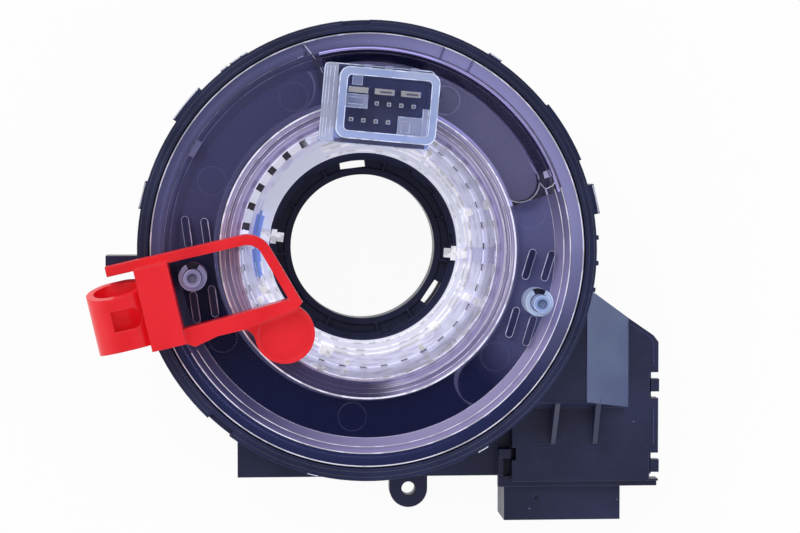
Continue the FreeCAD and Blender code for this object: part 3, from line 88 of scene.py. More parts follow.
# Angle, inner and outer radius, width and rise.
HUB_BLOCKS = (
    (203.0, 24.6, 26.6, 2.2, 2.6), (207.0, 26.8, 28.2, 1.6, 1.2), (213.0, 24.8, 26.2, 1.8, 2.2),
    (250.0, 24.8, 27.4, 3.2, 1.6), (262.0, 27.0, 28.3, 1.2, 1.4), (300.0, 26.6, 28.3, 1.4, 2.0),
    (312.0, 25.2, 26.4, 2.4, 1.2), (334.0, 26.6, 28.4, 1.8, 1.8), (18.0, 25.4, 27.2, 1.6, 1.4),
    (55.0, 26.0, 28.0, 1.4, 1.6), (236.0, 26.0, 28.2, 2.0, 1.4),
)
# Inner and outer radius, width and rise of a hook's clear steps.
HOOK_STEPS = ((19.1, 20.7, 2.2, 1.7), (20.8, 22.1, 3.4, 1.75), (22.3, 23.2, 2.6, 1.65),
              (23.5, 24.6, 3.0, 1.7))
# Name, angle, and the colours of the collar, of its painted light and of the peg. The right post's
# colours are brighter and bluer than the left's: painted light and shade on two posts of one clear
# plastic.
POSTS = (
    ("left", LEFT_POST, (0.30, 0.25, 0.42), (0.36, 0.35, 0.58), (0.14, 0.14, 0.29)),
    ("right", RIGHT_POST, (0.42, 0.54, 0.88), (0.60, 0.70, 0.95), (0.20, 0.30, 0.66)),
)
# Corner, length, width and height in the socket's own frame.
SOCKET_BLOCKS = (
    (-9.6, -0.9, 5.3, 3.0, SOCKET_FLOOR + 7.4), (-8.7, -0.1, 3.4, 1.5, SOCKET_FLOOR + 7.4),
    (-8.1, 4.2, 2.2, 2.0, SOCKET_FLOOR + 8.2), (2.9, -6.2, 6.4, 4.1, SOCKET_FLOOR + 6.4),
    (3.7, -5.5, 1.9, 2.4, SOCKET_FLOOR + 6.4), (8.2, -6.2, 1.2, 6.2, SOCKET_FLOOR + 8.6),
)
# Soft patches of light: angle, half width, blend and share.
EDGE_LIGHT = ((35.0, 15.0, 65.0, 0.75), (95.0, 85.0, 20.0, 0.25))
SLOPE_LIGHT = ((-52.0, 5.0, 75.0, 0.9),)
FLAT_LIGHT = ((5.0, 20.0, 35.0, 0.7), (140.0, 30.0, 25.0, 0.35))
# Name, place and size in metres, power and colour.
LAMPS = (
    ("key_lamp", (-0.45, 0.60, 0.80), (0.7, 0.7), 4.2, (1.0, 0.98, 0.97)),
    ("side_lamp", (0.80, -0.10, 0.12), (0.6, 0.30), 3.8, (0.42, 0.58, 1.0)),
    ("front_lamp", (-0.10, -0.85, 0.25), (0.9, 0.3), 1.6, (0.95, 0.96, 1.0)),
)
LAMP_AIM = (0.01, 0.0, 0.02)
TENT_COLOUR = (0.96, 0.97, 1.0, 1.0)
FLOOR_GLOW = 0.94


# ---- sizes and colours that a user would change ----

def length(name, text, value):
    return bpy.props.FloatProperty(name=name, description=text, default=value * MM, min=0.0,
                                   subtype="DISTANCE", unit="LENGTH", precision=5)


def colour(name, text, value):
    return bpy.props.FloatVectorProperty(name=name, description=text, default=value, size=3,
                                         min=0.0, max=1.0, subtype="COLOR")


def amount(name, text, value, top=1.0):
    return bpy.props.FloatProperty(name=name, description=text, default=value, min=0.0, max=top,
                                   subtype="FACTOR")


class ClockSpringFinish(bpy.types.PropertyGroup):
    ring: colour("Ring", "Plastic of the outer ring and the hub sleeve", (0.009, 0.012, 0.048))
    housing: colour("Sensor housing", "Plastic of the housing, the lid and the plug",
                    (0.009, 0.011, 0.045))
    chamber: colour("Chamber", "Floor film and roller carrier under the clear disc",
                    (0.014, 0.016, 0.060))
    disc: colour("Clear disc", "Tint of the clear disc", (0.80, 0.78, 0.96))
    # The haze colour is partly the disc's milky slopes and mostly painted sheen, laid where the
    # slope's patch of light falls.
    haze_and_sheen: colour("Haze", "Milky bloom of the clear disc's edge and slopes", (0.36, 0.32, 0.58))
    lip: colour("Inner lip", "Rosy bloom of the clear disc's inner lip", (0.36, 0.32, 0.58))
    edge: colour("Clear edges", "Light gathered in the clear plastic's edges", (0.86, 0.84, 0.96))
    tint: colour("Disc tint", "Navy tint that the clear disc's depth shows", (0.018, 0.024, 0.100))
    code: colour("Code ring", "Pale plastic of the code ring", (0.80, 0.81, 0.93))
    socket: colour("Wheel socket", "Blue tint of the wheel socket", (0.50, 0.62, 0.95))
    socket_rim: colour("Socket rim", "Bloom of the socket's walls", (0.42, 0.52, 0.88))
    strip: colour("Blue strip", "Stiffener of the flat cable on the hub", (0.20, 0.32, 0.78))
    lock: colour("Transport lock", "Red plastic of the transport lock", (0.80, 0.006, 0.014))
    contacts: colour("Contacts", "Tin plating of the contacts", (0.82, 0.81, 0.86))
    board: colour("Board", "Lacquer of the circuit board", (0.028, 0.018, 0.028))
    ribbon: colour("Flat cable", "Film of the wound flat cable", (0.52, 0.50, 0.68))


class ClockSpringDetail(bpy.types.PropertyGroup):
    edge_radius: length("Edge radius", "Rounding of the moulded edges", 0.30)
    bead: length("Bead", "Half width of the fine beads on the clear disc", 0.13)
    film: length("Film", "Thickness of the bloom on the clear plastic", 0.03)
    grain: length("Grain", "Size of the moulded plastic's grain", 0.35)
    ridge: length("Ridge", "Half width of the lid's fine ridge", 0.16)


class ClockSpringStudio(bpy.types.PropertyGroup):
    camera: bpy.props.FloatVectorProperty(
        name="Camera", description="Where the camera stands", size=3, subtype="TRANSLATION",
        unit="LENGTH", default=(-0.0280, 0.0214, 0.560))
    target: bpy.props.FloatVectorProperty(
        name="Aim", description="The point that the camera looks at", size=3,
        subtype="TRANSLATION", unit="LENGTH", default=(0.0072, -0.0036, 0.038))
    lens: bpy.props.FloatProperty(name="Lens", description="Focal length in millimetres",
                                  default=103.3, min=10.0)
    horizon: amount("Horizon", "Brightness of the tent's walls", 1.0, 4.0)
    zenith: amount("Zenith", "Brightness of the tent's top, by the camera", 0.40, 4.0)
    floor: colour("Floor", "Colour of the floor", (0.90, 0.90, 0.90))


# ---- node graphs ----

def feed(tree, value, socket):
    if isinstance(value, bpy.types.NodeSocket):
        tree.links.new(value, socket)
    else:
        socket.default_value = value


def calc(tree, operation, *values, clamp=False):
    node = tree.nodes.new("ShaderNodeMath")
    node.operation = operation
    node.use_clamp = clamp
    for value, socket in zip(values, node.inputs):
        feed(tree, value, socket)
    return node.outputs[0]


def plus(tree, *values, clamp=False):
    return calc(tree, "ADD", *values, clamp=clamp)


def times(tree, *values):
    return calc(tree, "MULTIPLY", *values)


def ramp(tree, value, low, high):
    """0 below low and 1 above high, smooth between them. It falls where low is above high."""
    node = tree.nodes.new("ShaderNodeMapRange")
    node.interpolation_type = "SMOOTHSTEP"
    for key, number in (("Value", value), ("From Min", low), ("From Max", high)):
        feed(tree, number, node.inputs[key])
    return node.outputs["Result"]


def blend_colours(tree, share, one, other):
    node = tree.nodes.new("ShaderNodeMix")
    node.data_type = "RGBA"
    feed(tree, share, node.inputs["Factor"])
    for key, value in (("A", one), ("B", other)):
        socket = next(s for s in node.inputs if s.name == key and s.type == "RGBA")
        feed(tree, value if isinstance(value, bpy.types.NodeSocket) else (*value, 1.0), socket)
    return next(s for s in node.outputs if s.type == "RGBA")


def noise(tree, place, scale, detail=3.0, rough=0.5):
    node = tree.nodes.new("ShaderNodeTexNoise")
    feed(tree, place, node.inputs["Vector"])
    feed(tree, scale, node.inputs["Scale"])
    node.inputs["Detail"].default_value = detail
    node.inputs["Roughness"].default_value = rough
    return node.outputs[0]


def spot(tree):
    return tree.nodes.new("ShaderNodeTexCoord").outputs["Object"]


def split(tree, vector):
    node = tree.nodes.new("ShaderNodeSeparateXYZ")
    feed(tree, vector, node.inputs[0])
    return node.outputs


def radius_of(tree):
    x, y, _ = split(tree, spot(tree))
    return calc(tree, "SQRT", plus(tree, times(tree, x, x), times(tree, y, y)))


def begin_group(name, inputs, outputs):
    group = bpy.data.node_groups.new(name, "ShaderNodeTree")
    for label, value in inputs:
        socket = group.interface.new_socket(label, in_out="INPUT", socket_type="NodeSocketFloat")
        socket.default_value = value
    for label in outputs:
        group.interface.new_socket(label, in_out="OUTPUT", socket_type="NodeSocketFloat")
    return group, group.nodes.new("NodeGroupInput").outputs, group.nodes.new("NodeGroupOutput").inputs


def grain_group():
    """The fine grain of a mould's face, and the slow change of tone over it."""
    group, given, out = begin_group("moulded_grain", [("Size", 0.0004)], ["Height", "Tone"])
    fine = noise(group, spot(group), calc(group, "DIVIDE", 1.0, given["Size"]), 2.0)
    wide = noise(group, spot(group), 45.0, 4.0, 0.6)
    feed(group, fine, out["Height"])
    feed(group, ramp(group, wide, 0.35, 0.65), out["Tone"])
    return group


def dust_group():
    """Sparse specks of dust."""
    group, given, out = begin_group("dust_specks", [("Scale", 260.0), ("Share", 0.2)], ["Mask"])
    cells = group.nodes.new("ShaderNodeTexVoronoi")
    feed(group, spot(group), cells.inputs["Vector"])
    feed(group, given["Scale"], cells.inputs["Scale"])
    kept = calc(group, "LESS_THAN", split(group, cells.outputs["Color"])[0], given["Share"])
    speck = ramp(group, cells.outputs["Distance"], 0.09, 0.04)
    feed(group, times(group, kept, speck), out["Mask"])
    return group


def ring_group():
    """1 between two radii about the ring's axis."""
    group, given, out = begin_group(
        "ring_zone", [("Inner", 0.03), ("Outer", 0.04), ("Blend", 0.0003)], ["Mask"])
    radius = radius_of(group)
    inside = ramp(group, radius, calc(group, "SUBTRACT", given["Inner"], given["Blend"]),
                  given["Inner"])
    outside = ramp(group, radius, plus(group, given["Outer"], given["Blend"]), given["Outer"])
    feed(group, times(group, inside, outside), out["Mask"])
    return group


def sweep_group():
    """1 within a share of the turn about the ring's axis, by angles in degrees."""
    group, given, out = begin_group(
        "sweep_zone", [("Centre", 0.0), ("Half", 40.0), ("Blend", 20.0)], ["Mask"])
    x, y, _ = split(group, spot(group))
    angle = calc(group, "RADIANS", given["Centre"])
    along = plus(group, times(group, x, calc(group, "COSINE", angle)),
                 times(group, y, calc(group, "SINE", angle)))
    share = calc(group, "DIVIDE", along, calc(group, "MAXIMUM", radius_of(group), 1e-5))
    edge = calc(group, "RADIANS", plus(group, given["Half"], given["Blend"]))
    feed(group, ramp(group, share, calc(group, "COSINE", edge),
                     calc(group, "COSINE", calc(group, "RADIANS", given["Half"]))), out["Mask"])
    return group


def lines_group():
    """Fine lines that run round the ring's axis, broken up along their length."""
    group, given, out = begin_group(
        "turned_lines", [("Pitch", 0.0005), ("Breaks", 8.0), ("Level", 0.55)], ["Mask"])
    x, y, _ = split(group, spot(group))
    place = group.nodes.new("ShaderNodeCombineXYZ")
    feed(group, calc(group, "DIVIDE", radius_of(group), given["Pitch"]), place.inputs[0])
    feed(group, times(group, calc(group, "ARCTAN2", y, x), given["Breaks"]), place.inputs[1])
    value = noise(group, place.outputs[0], 1.0, 2.0)
    feed(group, ramp(group, value, given["Level"], plus(group, given["Level"], 0.12)), out["Mask"])
    return group


GROUPS = {}


def group_out(tree, name, output, **values):
    """A shared group placed in a material, with its own values."""
    if name not in GROUPS:
        GROUPS[name] = {"moulded_grain": grain_group, "dust_specks": dust_group,
                        "ring_zone": ring_group, "sweep_zone": sweep_group,
                        "turned_lines": lines_group}[name]()
    node = tree.nodes.new("ShaderNodeGroup")
    node.node_tree = GROUPS[name]
    for key, value in values.items():
        feed(tree, value, node.inputs[key])
    return node.outputs[output]


def zone(tree, inner, outer, blend=0.3):
    return group_out(tree, "ring_zone", "Mask", Inner=inner * MM, Outer=outer * MM,
                     Blend=blend * MM)


def toward(tree, centre, half, blend):
    return group_out(tree, "sweep_zone", "Mask", Centre=centre, Half=half, Blend=blend)


def turned(tree, pitch, breaks, level):
    return group_out(tree, "turned_lines", "Mask", Pitch=pitch, Breaks=breaks, Level=level)


# ---- finishes ----

def begin_material(name, shown, **sockets):
    """A material, its node tree and its shader's inputs, with these values set."""
    material = bpy.data.materials.new(name)
    material.use_nodes = True
    material.diffuse_color = (*shown, 1.0)
    tree = material.node_tree
    shader = tree.nodes["Principled BSDF"]
    for key, value in sockets.items():
        shader.inputs[key.replace("_", " ")].default_value = value
    return material, tree, shader.inputs


def rounded(tree, inputs, height=None, strength=0.0, radius=None):
    """Soft edges and a grained face."""
    edges = tree.nodes.new("ShaderNodeBevel")
    edges.samples = 6
    edges.inputs["Radius"].default_value = (
        radius if radius else bpy.context.scene.clock_spring_detail.edge_radius)
    if height is None:
        feed(tree, edges.outputs[0], inputs["Normal"])
        return
    bump = tree.nodes.new("ShaderNodeBump")
    bump.inputs["Strength"].default_value = strength
    bump.inputs["Distance"].default_value = 0.00006
    feed(tree, height, bump.inputs["Height"])
    feed(tree, edges.outputs[0], bump.inputs["Normal"])
    feed(tree, bump.outputs[0], inputs["Normal"])


def moulded(name, base, rough, grain=0.35, pale=None, dust=0.15, radius=None, **sockets):
    """An opaque moulded plastic: grain, slow changes of tone and gloss, and a little dust."""
    material, tree, inputs = begin_material(name, base, **sockets)
    size = bpy.context.scene.clock_spring_detail.grain
    height = group_out(tree, "moulded_grain", "Height", Size=size)
    tone = group_out(tree, "moulded_grain", "Tone", Size=size)
    pale = pale or tuple(min(1.0, c * 1.45 + 0.004) for c in base)
    tinted = blend_colours(tree, tone, base, pale)
    specks = group_out(tree, "dust_specks", "Mask", Scale=330.0, Share=dust)
    shade = blend_colours(tree, times(tree, specks, 0.35), tinted, (0.45, 0.44, 0.5))
    feed(tree, shade, inputs["Base Color"])
    # Emission takes the plastic's own colour; an Emission Strength given to this finish is painted
    # light, a glow that no lamp makes.
    feed(tree, shade, inputs["Emission Color"])
    feed(tree, plus(tree, rough, times(tree, tone, 0.10)), inputs["Roughness"])
    rounded(tree, inputs, height, grain, radius)
    return material


def clear(name, tint, rough, lines=0.0, **sockets):
    """A clear plastic that bends light, its tint deeper in slow random patches."""
    material, tree, inputs = begin_material(name, tint, Transmission_Weight=1.0, IOR=1.46,
                                            **sockets)
    tone = tone_of(tree)
    deep = tuple(c * 0.86 for c in tint)
    feed(tree, blend_colours(tree, tone, tint, deep), inputs["Base Color"])
    marks = turned(tree, 0.0009, 3.0, 0.60)
    feed(tree, plus(tree, rough, times(tree, marks, lines)), inputs["Roughness"])
    return material


def glowing(name, base, rough=0.22, glow=0.0):
    """A bead or wall of clear plastic painted as a highlight: pale, broken along its length, and
    glowing where glow is given.
    """
    material, tree, inputs = begin_material(name, base, Emission_Strength=glow)
    breaks = turned(tree, 0.004, 9.0, 0.42)
    dim = tuple(c * 0.62 for c in base)
    shade = blend_colours(tree, breaks, dim, base)
    feed(tree, shade, inputs["Base Color"])
    feed(tree, shade, inputs["Emission Color"])
    feed(tree, plus(tree, rough, times(tree, breaks, 0.1)), inputs["Roughness"])
    return material


def bloom(name, base, other, alpha, glow=0.0):
    """A thin film of milky colour that in most uses also carries painted light or shade, and glows
    where glow is given. alpha(tree) gives its density and the share of its other colour.
    """
    material, tree, inputs = begin_material(name, base, Roughness=0.35, Specular_IOR_Level=0.25,
                                            Emission_Strength=glow)
    density, share = alpha(tree)
    shade = blend_colours(tree, share, base, other)
    feed(tree, shade, inputs["Base Color"])
    feed(tree, shade, inputs["Emission Color"])
    feed(tree, density, inputs["Alpha"])
    return material


def tone_of(tree):
    """Slow changes of tone."""
    return group_out(tree, "moulded_grain", "Tone", Size=0.0006)


def even(density):
    """The same density all over, with slow changes of tone."""
    return lambda tree: (density, tone_of(tree))


def lit(tree, patches):
    """The sum of soft patches of light about the ring's axis."""
    total = 0.0
    for centre, half, blend, share in patches:
        patch = times(tree, toward(tree, centre, half, blend), share)
        total = plus(tree, total, patch)
    return total


def dress(material, *nodes):
    """Give CAD nodes a finish."""
    for name in nodes:
        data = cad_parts[name].data
        data.materials.clear()
        data.materials.append(material)


# ---- meshes ----

def finish_piece(name, work, material, body="rotor"):
    mesh = bpy.data.meshes.new(name)
    bmesh.ops.recalc_face_normals(work, faces=work.faces)
    work.to_mesh(mesh)
    work.free()
    mesh.materials.append(material)
    mesh.shade_smooth()
    mesh.set_sharp_from_angle(angle=math.radians(EDGE_ANGLE))
    piece = bpy.data.objects.new(name, mesh)
    bpy.context.scene.collection.objects.link(piece)
    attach(piece, body)
    return piece


def lathe(work, profile, start=0.0, sweep=360.0, steps=288, centre=(0.0, 0.0)):
    """Turn a closed profile of radius and height, in millimetres, about an upright axis."""
    whole = abs(sweep - 360.0) < 1e-6
    count = steps if whole else max(2, int(steps * sweep / 360.0))
    loops = []
    for i in range(count if whole else count + 1):
        x, y = at_angle(1.0, start + sweep * i / count)
        loops.append([work.verts.new((MM * (centre[0] + r * x), MM * (centre[1] + r * y), MM * z))
                      for r, z in profile])
    pairs = list(zip(loops, loops[1:] + loops[:1])) if whole else list(zip(loops, loops[1:]))
    for one, other in pairs:
        for i in range(len(profile)):
            j = (i + 1) % len(profile)
            work.faces.new((one[i], other[i], other[j], one[j]))
    if not whole:
        work.faces.new(loops[0])
        work.faces.new(loops[-1])


def bead_profile(radius, height, half, rise=None):
    """A round-topped bead that sits on a surface."""
    rise = half if rise is None else rise
    foot = 0.4 * half
    arc = [(radius + half * math.cos(a), height + rise * math.sin(a))
           for a in (math.pi * k / 6 for k in range(7))]
    return [(radius + half, height - foot), *arc, (radius - half, height - foot)]


def sheet_profile(points, thick):
    """A thin skin that lies on a line of radii and heights."""
    return [*points, *[(r, z + thick) for r, z in reversed(points)]]


def skin(name, line, thick, material, start=0.0, sweep=360.0):
    """A film on the rotor's clear plastic, turned from a line of radii and heights."""
    work = bmesh.new()
    lathe(work, sheet_profile(line, thick), start, sweep)
    finish_piece(name, work, material)


def span(work, pairs):
    """Faces between neighbouring loops."""
    for one, other in pairs:
        for i in range(len(one)):
            j = (i + 1) % len(one)
            work.faces.new((one[i], one[j], other[j], other[i]))


def tube(work, points, radius, closed=True):
    """A fine wire-like bead along points in millimetres, level or not."""
    sides = 8
    points = [Vector(p) * MM for p in points]
    loops = []
    for i, point in enumerate(points):
        before = points[i - 1] if closed or i else points[0]
        after = points[(i + 1) % len(points)] if closed or i + 1 < len(points) else points[-1]
        ahead = (after - before).normalized()
        side = ahead.cross(Vector((0, 0, 1)))
        side = side.normalized() if side.length > 1e-6 else Vector((1, 0, 0))
        up = side.cross(ahead)
        loops.append([work.verts.new(point + (side * math.cos(a) + up * math.sin(a)) * radius * MM)
                      for a in (2 * math.pi * k / sides for k in range(sides))])
    span(work, zip(loops, loops[1:] + loops[:1]) if closed else zip(loops, loops[1:]))
    if not closed:
        work.faces.new(loops[0])
        work.faces.new(loops[-1])


def block(work, corners, low, high, soften=0.0):
    """A prism on corners in millimetres, its edges softened."""
    foot = [work.verts.new((x * MM, y * MM, low * MM)) for x, y in corners]
    face = work.faces.new(foot)
    made = bmesh.ops.extrude_face_region(work, geom=[face])["geom"]
    top = [v for v in made if isinstance(v, bmesh.types.BMVert)]
    bmesh.ops.translate(work, verts=top, vec=(0, 0, (high - low) * MM))
    if soften:
        edges = {e for v in foot + top for e in v.link_edges}
        bmesh.ops.bevel(work, geom=list(edges), offset=soften * MM, segments=2, profile=0.5,
                        affect="EDGES")


def film_block(work, corners, height):
    """A film on a level face."""
    block(work, corners, height + LIFT, height + LIFT + SKIN)


def polar_corners(angle, inner, outer, width):
    """The corners of a block that runs outward at an angle."""
    a = math.radians(angle)
    out, side = Vector((math.cos(a), math.sin(a))), Vector((-math.sin(a), math.cos(a)))
    return [tuple(out * r + side * s) for r, s in
            ((inner, -width / 2), (outer, -width / 2), (outer, width / 2), (inner, width / 2))]


def arc_points(radius, start, end, height, centre=(0.0, 0.0), steps=24):
    turns = (at_angle(radius, start + (end - start) * k / steps) for k in range(steps + 1))
    return [(centre[0] + x, centre[1] + y, height) for x, y in turns]


def at_angle(radius, angle):
    return radius * math.cos(math.radians(angle)), radius * math.sin(math.radians(angle))


def stadium_points(middle, turn, length, width, height):
    """The outline of a bar with round ends."""
    run = (length - width) / 2
    points = []
    for side in (1, -1):
        end = tuple(m + side * d for m, d in zip(middle, at_angle(run, turn)))
        points += arc_points(width / 2, turn - 90 * side, turn + 180 - 90 * side, height, end, 8)
    return points


def socket_corners(u, v, length, width):
    return [socket_spot(*p) for p in
            ((u, v), (u + length, v), (u + length, v + width), (u, v + width))]


def socket_spot(u, v):
    """A place in the wheel socket's own frame, in millimetres."""
    x, y = SOCKET_MIDDLE
    a = math.radians(SOCKET_TURN)
    return x + u * math.cos(a) - v * math.sin(a), y + u * math.sin(a) + v * math.cos(a)


def rounded_box_points(half_u, half_v, corner, height, middle=(0.0, 0.0)):
    """A box with round corners in the wheel socket's own frame."""
    points = []
    for k, (right, up) in enumerate(((1, 1), (-1, 1), (-1, -1), (1, -1))):
        for step in range(7):
            a = math.radians(90 * k + 15 * step)
            u = middle[0] + right * (half_u - corner) + corner * math.cos(a)
            v = middle[1] + up * (half_v - corner) + corner * math.sin(a)
            points.append((*socket_spot(u, v), height))
    return points


# ---- operators: one for each group of pieces ----

class PieceOperator(bpy.types.Operator):
    """Shared ground of the clock spring's operators."""
    bl_options = {"REGISTER", "UNDO"}

    def execute(self, context):
        self.make(context.scene.clock_spring_finish, context.scene.clock_spring_detail)
        return {"FINISHED"}


class CLOCKSPRING_OT_dark_parts(PieceOperator):
    """Finish the ring, the sensor housing, the covers, the plug and the hub sleeve"""
    bl_idname = "clock_spring.dark_parts"
    bl_label = "Dark plastic parts"

    def make(self, finish, detail):
        dress(moulded("ring_plastic", finish.ring, 0.34, Specular_IOR_Level=0.35), "stator_housing")
        dress(moulded("sleeve_plastic", finish.ring, 0.30, Specular_IOR_Level=0.35), "hub_sleeve")
        dress(moulded("housing_plastic", finish.housing, 0.38, 0.45),
              "sensor_housing", "rear_cover", "module_lid", "plug_header")
        # The rim's and the tabs' fine lines are painted highlights: beads lighter than the ring,
        # faint on the rim and pale on the tabs.
        work = bmesh.new()
        for radius in RIM_LINES:
            for arc in RIM_ARCS:
                lathe(work, bead_profile(radius, RIM_TOP, 0.08), *arc)
        finish_piece("rim_lines", work, moulded("rim_line_highlight", (0.05, 0.05, 0.085), 0.25),
                     "stator")
        work = bmesh.new()
        for radius, height, start, sweep in TAB_LINES:
            lathe(work, bead_profile(radius, height, 0.11), start, sweep, 720)
        finish_piece("tab_lines", work, moulded("tab_line_highlight", (0.62, 0.63, 0.76), 0.25),
                     "stator")
        dress(moulded("barrier_plastic", (0.012, 0.012, 0.014), 0.45),
              "light_barrier_1", "light_barrier_2")
        dress(moulded("board_lacquer", finish.board, 0.30), "circuit_board")
        tin, tree, inputs = begin_material("tin_plating", finish.contacts, Metallic=1.0,
                                           Roughness=0.26)
        tone = group_out(tree, "moulded_grain", "Tone", Size=0.0002)
        feed(tree, blend_colours(tree, tone, finish.contacts, (0.62, 0.60, 0.66)),
             inputs["Base Color"])
        rounded(tree, inputs, radius=0.00012)
        dress(tin, "plug_pins", "socket_pins")


class CLOCKSPRING_OT_chamber(PieceOperator):
    """Finish the flat cables, the rollers and their carrier, and add the rollers' rims"""
    bl_idname = "clock_spring.chamber"
    bl_label = "Rollers and flat cables"

    def make(self, finish, detail):
        dress(moulded("slide_film_plastic", finish.chamber, 0.30, 0.15), "slide_film")
        dress(moulded("carrier_plastic", tuple(c * 1.15 for c in finish.chamber), 0.35),
              "roller_carrier")
        # The flat cable's Emission Strength is painted light: a glow that lifts the film out of the
        # chamber's shade.
        dress(moulded("flat_cable_film", finish.ribbon, 0.35, 0.1, Emission_Strength=0.5),
              "ribbon_1", "ribbon_2")
        dress(moulded("roller_plastic", finish.chamber, 0.35), *ROLLERS)
        dress(moulded("clamp_plastic", (0.30, 0.28, 0.38), 0.40), "outer_terminal_1",
              "outer_terminal_2", "inner_terminal_1", "inner_terminal_2")
        # The rollers' rims are painted highlights: a pale bead that glows on each dark roller's top
        # edge.
        rim = glowing("roller_rim", (0.60, 0.60, 0.80), 0.3, 0.5)
        for name in ROLLERS:
            low, high = (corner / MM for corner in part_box(name))
            middle, radius = (low + high) / 2, (high.x - low.x) / 2
            work = bmesh.new()
            tube(work, arc_points(radius - 0.12, 0, 352.5, high.z, (middle.x, middle.y), 47), 0.08)
            finish_piece(name + "_rim", work, rim, "roller_body_" + name[-1])


class CLOCKSPRING_OT_clear_disc(PieceOperator):
    """Finish the clear disc, and add its bloom, its beads and its moulding marks"""
    bl_idname = "clock_spring.clear_disc"
    bl_label = "Clear disc"

    def make(self, finish, detail):
        dress(clear("clear_plastic", finish.disc, 0.04, 0.10, Specular_IOR_Level=0.35),
              "rotor_cover")
        self.edge_and_slope(finish, detail.film / MM)
        self.flat_and_sector(detail.film / MM)
        self.beads(finish, detail.bead / MM)
        self.lip(finish, detail.film / MM)

    def edge_and_slope(self, finish, film):
        edge = [(46.7, DISC_TOP + LIFT), (DISC_EDGE - 0.05, DISC_TOP + LIFT)]
        skin("disc_edge_bloom", edge, film,
             bloom("disc_edge_film", finish.tint, (0.32, 0.31, 0.60), self.edge_density))
        slope = [(SLOPE_FOOT, FLAT_TOP + LIFT), (SLOPE_STEP - 0.1, STEP_TOP + LIFT),
                 (45.7, STEP_TOP + LIFT), (SLOPE_EDGE, DISC_TOP + LIFT)]
        # The slope film leans a little toward the haze colour everywhere, and much more in the
        # slope's patch of light: painted sheen.
        skin("disc_slope_bloom", slope, film,
             bloom("disc_slope_film", finish.tint, finish.haze_and_sheen, self.slope_density),
             *OUTSIDE)

    def flat_and_sector(self, film):
        inner = LIP_EDGE + 0.1
        skin("disc_tint", [(inner, FLAT_TOP + LIFT), (SLOPE_FOOT, FLAT_TOP + LIFT)], film,
             bloom("disc_tint_film", (0.004, 0.006, 0.056), (0.21, 0.21, 0.48), self.flat_density),
             *OUTSIDE)
        work = bmesh.new()
        well = [(inner, WELL_TOP + LIFT), (42.5, WELL_TOP + LIFT), (45.7, DISC_TOP - 0.2)]
        lathe(work, sheet_profile(well, film), SECTOR_START, SECTOR_END - SECTOR_START - 0.4)
        nose = arc_points(4.3, SECTOR_START - 180.0, SECTOR_START, 0.0,
                          at_angle(NOSE_CIRCLE, SECTOR_START))
        film_block(work, [p[:2] for p in nose], WELL_TOP)
        finish_piece("sector_bloom", work, bloom("sector_bloom_film", (0.33, 0.32, 0.60),
                                                 (0.02, 0.02, 0.09), self.sector_density))

    @staticmethod
    def beads(finish, half):
        # The beads' pale, glowing colour is a painted highlight on the clear edges. The slope beads
        # are bright on the lower arc and faint on the rest: a painted lit side and shaded side of the
        # same beads.
        around, lower = (0.0, 360.0), (-150.0, 168.0)
        work = bmesh.new()
        for radius, height, width, (start, sweep) in (
                (DISC_EDGE - 0.2, DISC_TOP, half * 1.2, around),
                (SLOPE_EDGE - 0.1, DISC_TOP, half, lower),
                (SLOPE_STEP, STEP_TOP, half * 0.8, lower),
                (SLOPE_FOOT + 0.1, FLAT_TOP, half * 0.7, lower),
                (LIP_EDGE - 0.15, RIM_TOP, half * 1.6, around),
                (LIP_EDGE - 1.25, RIM_TOP, half * 0.5, around),
                (LIP_EDGE - 2.35, RIM_TOP, half * 0.5, around),
                (29.4, RIM_TOP - 0.5, half, around)):
            lathe(work, bead_profile(radius, height, width), start, sweep)
        nose = arc_points(4.6, SECTOR_START - 180.0, SECTOR_START - 25.0, FLAT_TOP,
                          at_angle(NOSE_CIRCLE, SECTOR_START))
        tail = ((43.2, SECTOR_START - 5.2, FLAT_TOP), (44.9, SECTOR_START - 4.8, STEP_TOP),
                (45.8, SECTOR_START - 4.0, DISC_TOP - 0.7))
        tube(work, [*nose, *((*at_angle(r, a), z) for r, a, z in tail)], 0.10, closed=False)
        start_edge = ((49.4, 107.5, DISC_TOP), (46.7, 106.1, DISC_TOP), (45.7, 105.6, STEP_TOP),
                      (45.1, 105.4, STEP_TOP), (43.2, 104.6, FLAT_TOP), (41.8, 104.2, FLAT_TOP))
        tube(work, [(*at_angle(r, a), z) for r, a, z in start_edge], 0.08, closed=False)
        finish_piece("disc_beads", work, glowing("clear_edge", finish.edge, 0.2, 0.15))
        work = bmesh.new()
        lathe(work, bead_profile(SLOPE_EDGE - 0.1, DISC_TOP, 0.10), 18.0, 192.0)
        lathe(work, bead_profile(SLOPE_STEP, STEP_TOP, 0.08), 18.0, 192.0)
        finish_piece("disc_faint_beads", work, glowing("clear_faint_edge", (0.16, 0.14, 0.27)))

    def lip(self, finish, film):
        low, high, over = RIM_TOP - 0.48, RIM_TOP + LIFT, RIM_TOP + 0.06
        steps = [(29.3, low), (30.25, low), (30.35, high), (31.5, high),
                 (31.65, low), (32.65, low), (32.8, high), (33.8, high)]
        skin("lip_bloom", steps, film,
             bloom("lip_bloom_film", finish.lip, (0.66, 0.58, 0.74), self.lip_density))
        skin("lip_shade", [(29.9, over), (33.7, over)], film,
             bloom("lip_shade_film", (0.030, 0.028, 0.080), (0.06, 0.05, 0.13),
                   self.shade_density), 205.0, 85.0)

    @staticmethod
    def edge_density(tree):
        scratch = turned(tree, 0.0004, 2.0, 0.66)
        specks = group_out(tree, "dust_specks", "Mask", Scale=300.0, Share=0.12)
        light = lit(tree, EDGE_LIGHT)
        marks = plus(tree, times(tree, scratch, times(tree, light, 0.15)), times(tree, specks, 0.2))
        return 0.80, plus(tree, light, marks, clamp=True)

    @staticmethod
    def slope_density(tree):
        return 0.80, plus(tree, 0.12, lit(tree, SLOPE_LIGHT), clamp=True)

